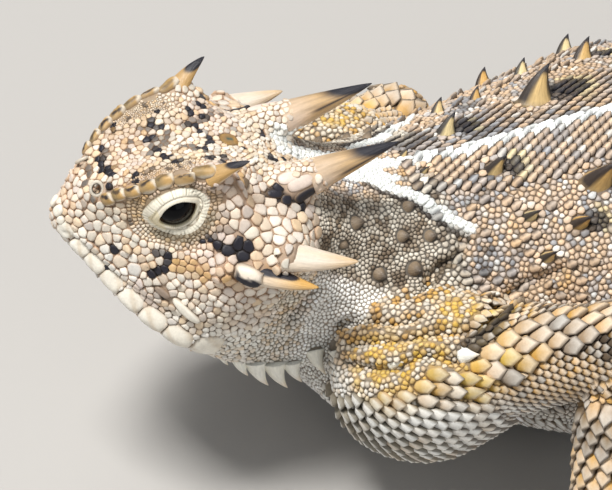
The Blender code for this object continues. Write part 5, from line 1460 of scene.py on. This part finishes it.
# share along each piece of the left limbs, and the lowest and highest turn of its large keeled scales
LIMB_ROWS = {
    ("arm", "bulge"): ((0.60, 0.62, 1.0), (0.9, 0.035, 0.030), (0.9, 0.090, 0.135)),
    ("arm", "upper"): (
        (0.0, 0.2, 0.45, 0.7, 1.0), (0.03, 0.04, 0.09, 0.13, 0.20), (0.14, 0.17, 0.24, 0.34, 0.5)),
    ("arm", "lower"): ((0.0, 1.0), (0.0, 0.0), (0.55, 0.55)),
    ("leg", "bulge"): ((0.4, 0.42, 1.0), (0.9, 0.04, 0.04), (0.9, 0.46, 0.46)),
    ("leg", "upper"): ((0.0, 1.0), (0.05, 0.05), (0.47, 0.47)),
    ("leg", "lower"): ((0.0, 1.0), (0.0, 0.0), (0.52, 0.52)),
}
ARM_GAPS = {"bulge": (1.25, 1.05), "upper": (1.5, 0.72), "lower": (1.25, 0.85), "palm": (0.8, 0.8)}
for kind, side in LIMBS:
    label = f"{kind} {SIDES[side]}"
    for piece in ("bulge", "upper", "lower", "palm"):
        for size, gap in enumerate(ARM_GAPS[piece]):
            found = lattice(parts[f"{label} {piece}"], (gap, gap))
            share, turn = found[:, 4], found[:, 5] if side == LEFT else np.mod(0.5 - found[:, 5], 1)
            turn = np.mod(turn + 0.2, 1) - 0.2
            broad = np.zeros(len(found), bool)
            if (kind, piece) in LIMB_ROWS:
                knots, low, high = LIMB_ROWS[kind, piece]
                broad = (turn >= np.interp(share, knots, low)) & (turn < np.interp(share, knots, high))
            if size == 0 and piece != "palm":
                add_found(found[broad], KEELED, 0.27, 1.25, 1.5, 1.25, 0.0, 0.45)
            elif (kind, piece) == ("arm", "bulge"):
                upper = turn < np.where(share > 0.62, 0.03, 0.062)
                add_found(found[~broad & upper], KEELED, 0.26, 1.5, 1.0, 1.5, 0.0, 0.6)
            elif size:
                outer = (piece != "bulge") | (share > 0.45)
                add_found(found[~broad & outer], KEELED, 0.19, 0.9, 0.8, 1.1, 0.0, 0.5)
    for number in range(len(TOE_ANGLES[kind])):
        found = lattice(parts[f"{label} toe {number}"], (0.72, 0.66))
        add_found(found, KEELED, 0.15, 0.4, 0.4, 0.4, 0.0, 0.4)
seeds = np.concatenate(seed_sets)
spots, facing, moved = settle(seeds[:, :3])
good = (moved < 1.3) & (spots[:, 2] > 0.1)
good[:hand_set] = True
seeds, spots = seeds[good], spots[good]
seeds[:, :3] = spots

area = 0.5 * np.linalg.norm(np.cross(
    skin_points[skin_faces[:, 2]] - skin_points[skin_faces[:, 0]],
    skin_points[skin_faces[:, 3]] - skin_points[skin_faces[:, 1]]), axis=1)
centres = skin_points[skin_faces].mean(axis=1)
centre_place = places(centres)
wanted = reach_at(centres, *centre_place[:3])
density = area / (wanted**2)
pick = dice.choice(len(area), size=int(density.sum() * 1.5), p=density / density.sum())
mix = dice.dirichlet((1, 1, 1, 1), len(pick))
loose = (skin_points[skin_faces[pick]] * mix[..., None]).sum(axis=1)
loose_piece = centre_place[0][pick]
large = dice.random(len(pick)) < np.where(loose_piece == TRUNK_PIECE, 0.012, 0.0)
loose_reach = wanted[pick] * dice.uniform(0.88, 1.14, len(pick)) * np.where(large, 1.7, 1.0)
loose_set = np.zeros((len(loose), seeds.shape[1]))
loose_set[:, :3], loose_set[:, REACH] = loose, loose_reach
loose_set[:, LIFT] = np.where(loose_reach > 0.26, 0.24, 0.62 * loose_reach + 0.03)
uneven = (loose_piece == HEAD) & ~large
loose_set[:, LIFT] *= np.where(uneven, dice.uniform(0.7, 1.3, len(loose)), 1.0)
loose_set[:, TILT] = np.where(uneven, dice.normal(0.1, 0.3, len(loose)), 0.0)
loose_set[large, KIND], loose_set[large, LIFT] = KEELED, 0.24
loose_set[large, TIP:] = 0.5, 1.0, 0.9, 1.0, 0.0
order = np.argsort(-large.astype(int), kind="stable")
everything = np.concatenate([seeds, loose_set[order]])

along, across, out = eye_plane(everything[:, :3])
head = to_head(everything[:, :3])
near_eye = (np.hypot(along / LID_OUTER[0], across / LID_OUTER[1]) < 1.04) & (out > 0) & (head[:, 1] < 12)
fixed = len(seeds) - int(near_eye[:len(seeds)].sum())
everything = everything[~near_eye]
seed_tree = point_tree(everything[:, :3])
alive = np.ones(len(everything), bool)
reaches = everything[:, REACH].tolist()
for index, (spot, mine) in enumerate(zip(everything[:, :3].tolist(), reaches)):
    if alive[index]:
        for _, other, distance in seed_tree.find_range(spot, mine + 0.45 if index < fixed else 2.3 * mine):
            if other > index and alive[other] and distance < CLOSEST * (mine + reaches[other]):
                alive[other] = False
seeds = everything[alive]
held = int(alive[:fixed].sum())


def pairs_within(points, reach):
    """Every two points that lie in the same or in touching cubes of a grid, reach wide."""
    cell = np.floor(points / reach).astype(np.int64)
    cell -= cell.min(axis=0) - 1
    span = cell.max(axis=0) + 2
    key = (cell[:, 0] * span[1] + cell[:, 1]) * span[2] + cell[:, 2]
    order = np.argsort(key, kind="stable")
    ranked = key[order]
    firsts, seconds = [], []
    for shift in (dx * span[1] + dy for dx in (-1, 0, 1) for dy in (-1, 0, 1)):
        low = np.searchsorted(ranked, key + shift * span[2] - 1)
        count = np.searchsorted(ranked, key + shift * span[2] + 1, side="right") - low
        firsts.append(np.repeat(np.arange(len(points)), count))
        start = np.repeat(low - np.r_[0, np.cumsum(count)[:-1]], count)
        seconds.append(order[start + np.arange(count.sum())])
    first, second = np.concatenate(firsts), np.concatenate(seconds)
    keep = first != second
    return first[keep], second[keep]


ROUNDS, LONGEST_STEP = 7, 0.25
for _ in range(ROUNDS):
    points = seeds[:, :3]
    i, j = pairs_within(points, 0.9)
    away = points[i] - points[j]
    distance = np.maximum(np.linalg.norm(away, axis=1), 1e-6)
    push = np.clip(seeds[i, REACH] + seeds[j, REACH] - distance, 0, None) * 0.3
    shift = np.stack([np.bincount(i, away[:, k] / distance * push, len(points)) for k in range(3)], axis=-1)
    far = np.maximum(np.linalg.norm(shift[held:], axis=1), 1e-6)
    seeds[held:, :3] = settle(points[held:] + shift[held:] * np.minimum(1, LONGEST_STEP / far)[:, None])[0]

points = seeds[:, :3]
_, seed_facing, _ = settle(points)
seed_piece, seed_share, seed_turn, seed_way = places(points)
side_ward = np.stack([-np.sign(points[:, 0]), 0 * points[:, 0], 0 * points[:, 0]], -1)
back_scales = (seed_piece == TRUNK_PIECE) & (np.abs(seed_turn - 0.5) > 0.3)
seed_way = seed_way + 0.5 * side_ward * back_scales[:, None]
seed_way = unit(seed_way - seed_facing * (seed_way * seed_facing).sum(-1, keepdims=True))
seed_across = np.cross(seed_facing, seed_way)
seed_tone, seed_seam = markings(points, seed_piece, seed_share, seed_turn)
stain = dice.random(len(seeds)) ** 3 * (seed_tone.sum(axis=1) > 0.9)
seed_tone = mixed(seed_tone, OCHRE, 0.5 * stain * ((seed_piece == HEAD) | (seed_piece > TRUNK_PIECE)))
seed_tone = np.clip(seed_tone * dice.normal(1.0, 0.09, (len(seeds), 1)), 0, 1)


def outlines(sides):
    """How far each scale's edge lies from its seed in some directions round it.

    The edge towards a neighbour is the line square to the way there, at the share of the distance
    that the two reaches give, so the nearest of all these lines bounds the scale.
    """
    i, j = pairs_within(points, 1.5)
    rel = points[j] - points[i]
    u, v = (rel * seed_way[i]).sum(-1), (rel * seed_across[i]).sum(-1)
    flat = np.hypot(u, v)
    near = (np.linalg.norm(rel, axis=1) < 1.9 * (seeds[i, REACH] + seeds[j, REACH])) & (flat > 1e-3)
    i, j, u, v, flat = i[near], j[near], u[near], v[near], flat[near]
    half = (flat**2 + seeds[i, REACH] ** 2 - seeds[j, REACH] ** 2) / (2 * flat)
    order = np.argsort(i, kind="stable")
    i, u, v, flat, half = i[order], u[order], v[order], flat[order], half[order]
    starts = np.searchsorted(i, np.arange(len(points)))
    has = np.diff(np.r_[starts, len(i)]) > 0
    edges = []
    for step in range(sides):
        angle = 2 * math.pi * step / sides
        toward = (u * math.cos(angle) + v * math.sin(angle)) / flat
        limit = np.where(toward > 0.15, np.maximum(half, 0.05) / np.maximum(toward, 0.15), 9.0)
        found = np.full(len(points), 9.0)
        found[has] = np.minimum.reduceat(limit, starts[has])
        edges.append(np.minimum(found, seeds[:, REACH] * 1.75))
    return np.stack(edges, -1)


def atlas(pick):
    """Where each scale lies on the unrolled skin: each piece of the body has a band of its own."""
    piece, wide = seed_piece[pick], 4.0  # the head, neck and trunk have bands as wide as four limb pieces
    limb = piece > TRUNK_PIECE
    first = np.where(limb, 3 * wide + piece - 3, piece * wide)
    shares = 0.03 + 0.94 * np.clip(seed_share[pick], 0, 1)
    across = (first + np.where(limb, 1.0, wide) * shares) / (3 * wide + len(PIECES) - 3)
    return np.stack([0.005 + 0.99 * across, 0.01 + 0.98 * seed_turn[pick]], -1)


def scale_mesh(name, pick, edges, rings, seam):
    """One mesh of many scales.

    Ring by ring from the sunken edge to the top, a point lies at a share of the way to its edge
    and at a share of the lift, and takes a share of the rearward slope; the tip is drawn out, and
    a keel runs along. The last of the rings is the middle point.
    """
    sides = edges.shape[1]
    seed = seeds[pick]
    count = len(pick)
    angle = np.arange(sides) * 2 * math.pi / sides
    radius = np.maximum(edges[pick] * (1 - seam), 0.06)
    drawn = np.clip((np.cos(angle) - 0.4) / 0.6, 0, 1) ** 1.4
    radius = radius * (1 + seed[:, TIP:TIP + 1] * drawn)
    lift, keel, tilt, reach = (seed[:, k:k + 1] for k in (LIFT, KEEL, TILT, REACH))
    levels, shades, side_darks, pales = [], [], [], []
    noise, rough = np.random.default_rng(count), 0.13
    for share, height, shade, slope in rings[:-1]:
        u, v = radius * share * np.cos(angle), radius * share * np.sin(angle)
        lean = tilt * np.clip(u / reach + 0.35, -0.35, 1.6) * slope
        ridge = keel * np.clip(1 - np.abs(v) / (0.35 * reach), 0, 1) * max(height, 0)
        uneven = 1 + rough * max(height, 0) * noise.normal(size=(count, sides))
        levels.append(np.stack([u, v, lift * (height * uneven + lean + 0.6 * ridge)], -1))
        shades.append(np.full((count, sides), shade))
        # darker along both long sides of each scale, away from its middle line
        side_darks.append(ramp(np.abs(v) / reach, 0.42, 0.80) * (height > 0))
        pales.append(ramp(u / reach, 0.1, 0.9) * (height > 0))
    top = np.zeros((count, 3))
    top[:, 2] = lift[:, 0] * (rings[-1][1] + 0.35 * tilt[:, 0] + 0.6 * keel[:, 0])
    local = np.concatenate([*levels, top[:, None]], axis=1)
    shade = np.concatenate([*shades, np.full((count, 1), rings[-1][2])], axis=1)
    side_dark = np.concatenate([*side_darks, np.zeros((count, 1))], axis=1) * seed[:, SIDE_DARK:SIDE_DARK + 1]
    pale = np.concatenate([*pales, np.zeros((count, 1))], axis=1) * seed[:, BLEACH:BLEACH + 1]
    base = np.stack([seed_way[pick], seed_across[pick], seed_facing[pick]], axis=1)
    placed = points[pick][:, None] + np.einsum("nvk,nkc->nvc", local, base)
    placed[..., 2] = np.maximum(placed[..., 2], 0.0)
    polygons = closed_faces(count, len(rings) - 1, sides)
    bright = seed_tone[pick].sum(axis=1) > 0.35
    tone = mixed(seed_tone[pick][:, None] + 0 * shade[..., None], WHITE, pale * 0.7 * bright[:, None])
    tone = mixed(tone, BLUE_BLACK, side_dark * 0.9 * (seed_tone[pick].sum(axis=1) < 2.2)[:, None])
    tone = mixed(tone, seed_seam[pick][:, None], shade)
    spread = local[..., :2] / np.abs(local[..., :2]).max(axis=(1, 2), keepdims=True) * PATCH
    corners = atlas(pick)[:, None] + spread
    made = make_mesh(name, placed.reshape(-1, 3), polygons, {"tone": tone.reshape(-1, 3)},
                     {"seam": shade.ravel()}, corners.reshape(-1, 2), smooth=rings is not KEELED_RINGS)
    return finished(made, scale_finish, "skin")


# rings of each kind of scale: share of the way to its edge, height, seam colour, share of the slope
PLATE_RINGS = (
    (0.97, -0.5, 1.0, 0.0), (1.0, 0.30, 0.85, 0.4), (0.91, 0.70, 0.20, 0.8), (0.6, 0.84, 0.0, 1.0),
    (0.0, 0.88, 0.0, 1.0))
KEELED_RINGS = (
    (0.72, -0.55, 1.0, 0.0), (1.0, 0.30, 0.75, 1.0), (0.74, 0.56, 0.0, 1.0), (0.0, 0.68, 0.0, 1.0))
GRANULE_RINGS = ((0.95, -0.4, 1.0, 0.0), (0.97, 0.35, 0.5, 0.6), (0.6, 0.88, 0.0, 0.9), (0.0, 1.0, 0.0, 1.0))
FINE_RINGS = ((0.95, -0.4, 1.0, 0.0), (0.82, 0.65, 0.25, 0.8), (0.0, 1.0, 0.0, 1.0))
STRETCHES = (27, 44)  # places back along the body that part the granules of neck, shoulders and rear
stretch = np.searchsorted(STRETCHES, points[:, 1], side="right")
kind, on_head = seeds[:, KIND], seed_piece == HEAD
plates = (kind == PLATE) | (on_head & (seeds[:, REACH] > 0.205) & (kind == GRANULE))
keeled, grains = (kind == KEELED) & ~plates, (kind == GRANULE) & ~plates
many, some, few = outlines(10), outlines(8), outlines(6)
SCALE_SETS = {  # which scales, their outlines, rings and seam
    "head_plates": (plates, many, PLATE_RINGS, 0.015),
    "limb_scales": (keeled & (seed_piece > TRUNK_PIECE), some, KEELED_RINGS, 0.05),
    "trunk_scales": (keeled & (seed_piece <= TRUNK_PIECE), some, KEELED_RINGS, 0.05),
    "neck_granules": (grains & (stretch == 0), some, GRANULE_RINGS, 0.05),
    "shoulder_granules": (grains & (stretch == 1), some, GRANULE_RINGS, 0.05),
    "rear_granules": (grains & (stretch == 2), few, FINE_RINGS, 0.06),
}
for side in (LEFT, RIGHT):
    this_side = (points[:, 0] < 0) == (side == RIGHT)
    for name, (chosen, edges, rings, seam) in SCALE_SETS.items():
        scale_mesh(f"{name}_{SIDES[side]}", np.flatnonzero(chosen & this_side), edges, rings, seam)

# The skin between the scales: the closed surface made first, in the darker colour of the seams. It
# stands for every node of flesh, so that no seam of the solids shows.
SKIN_SHARE = 0.95  # the share of the skin's faces that is kept, so that they stay under 200,000
skin_place = places(skin_points)
skin_tone, skin_seam = markings(skin_points, *skin_place[:3])
skin_tone = mixed(skin_tone, skin_seam, 0.75) * 0.85
skin = make_mesh("skin", skin_points, [skin_faces], {"tone": skin_tone}, {"seam": np.ones(len(skin_points))})
thinned = skin.modifiers.new("thinned", "DECIMATE")
thinned.ratio = SKIN_SHARE
flesh = [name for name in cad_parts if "horn" not in name and "eye" not in name]
finished(skin, scaly("horned lizard skin"), "skin", *flesh)

# Soft studio light over a plain pale floor.
floor_mesh = bpy.data.meshes.new("floor")
floor_mesh.from_pydata([(-3, -3, 0), (3, -3, 0), (3, 3, 0), (-3, 3, 0)], [], [(0, 1, 2, 3)])
floor = bpy.data.objects.new("floor", floor_mesh)
bpy.context.scene.collection.objects.link(floor)
floor_finish = Finish("plain floor", Roughness=0.9)
floor_finish.into("Base Color", (0.44, 0.425, 0.405, 1))
floor_mesh.materials.append(floor_finish.material)
LIGHTS = {
    "key": ((0.06, -0.22, 0.60), 0.16, 5.0, (1.0, 0.985, 0.96)),
    "fill": ((0.65, 0.15, 0.30), 0.6, 0.9, (0.92, 0.96, 1.0)),
    "rim": ((-0.45, 0.35, 0.45), 0.35, 1.2, (1.0, 0.98, 0.95)),
}
for name, (place, size, power, tint) in LIGHTS.items():
    lamp = bpy.data.lights.new(name, "AREA")
    lamp.size, lamp.energy, lamp.color = size, power, tint
    light = bpy.data.objects.new(name, lamp)
    light.location = place
    light.rotation_euler = Vector(place).to_track_quat("Z", "Y").to_euler()
    bpy.context.scene.collection.objects.link(light)
world = bpy.data.worlds.new("studio")
world.use_nodes = True
world.node_tree.nodes["Background"].inputs["Color"].default_value = (0.9, 0.94, 1.0, 1)
world.node_tree.nodes["Background"].inputs["Strength"].default_value = 0.30
bpy.context.scene.world = world
bpy.context.scene.view_settings.view_transform = "Standard"
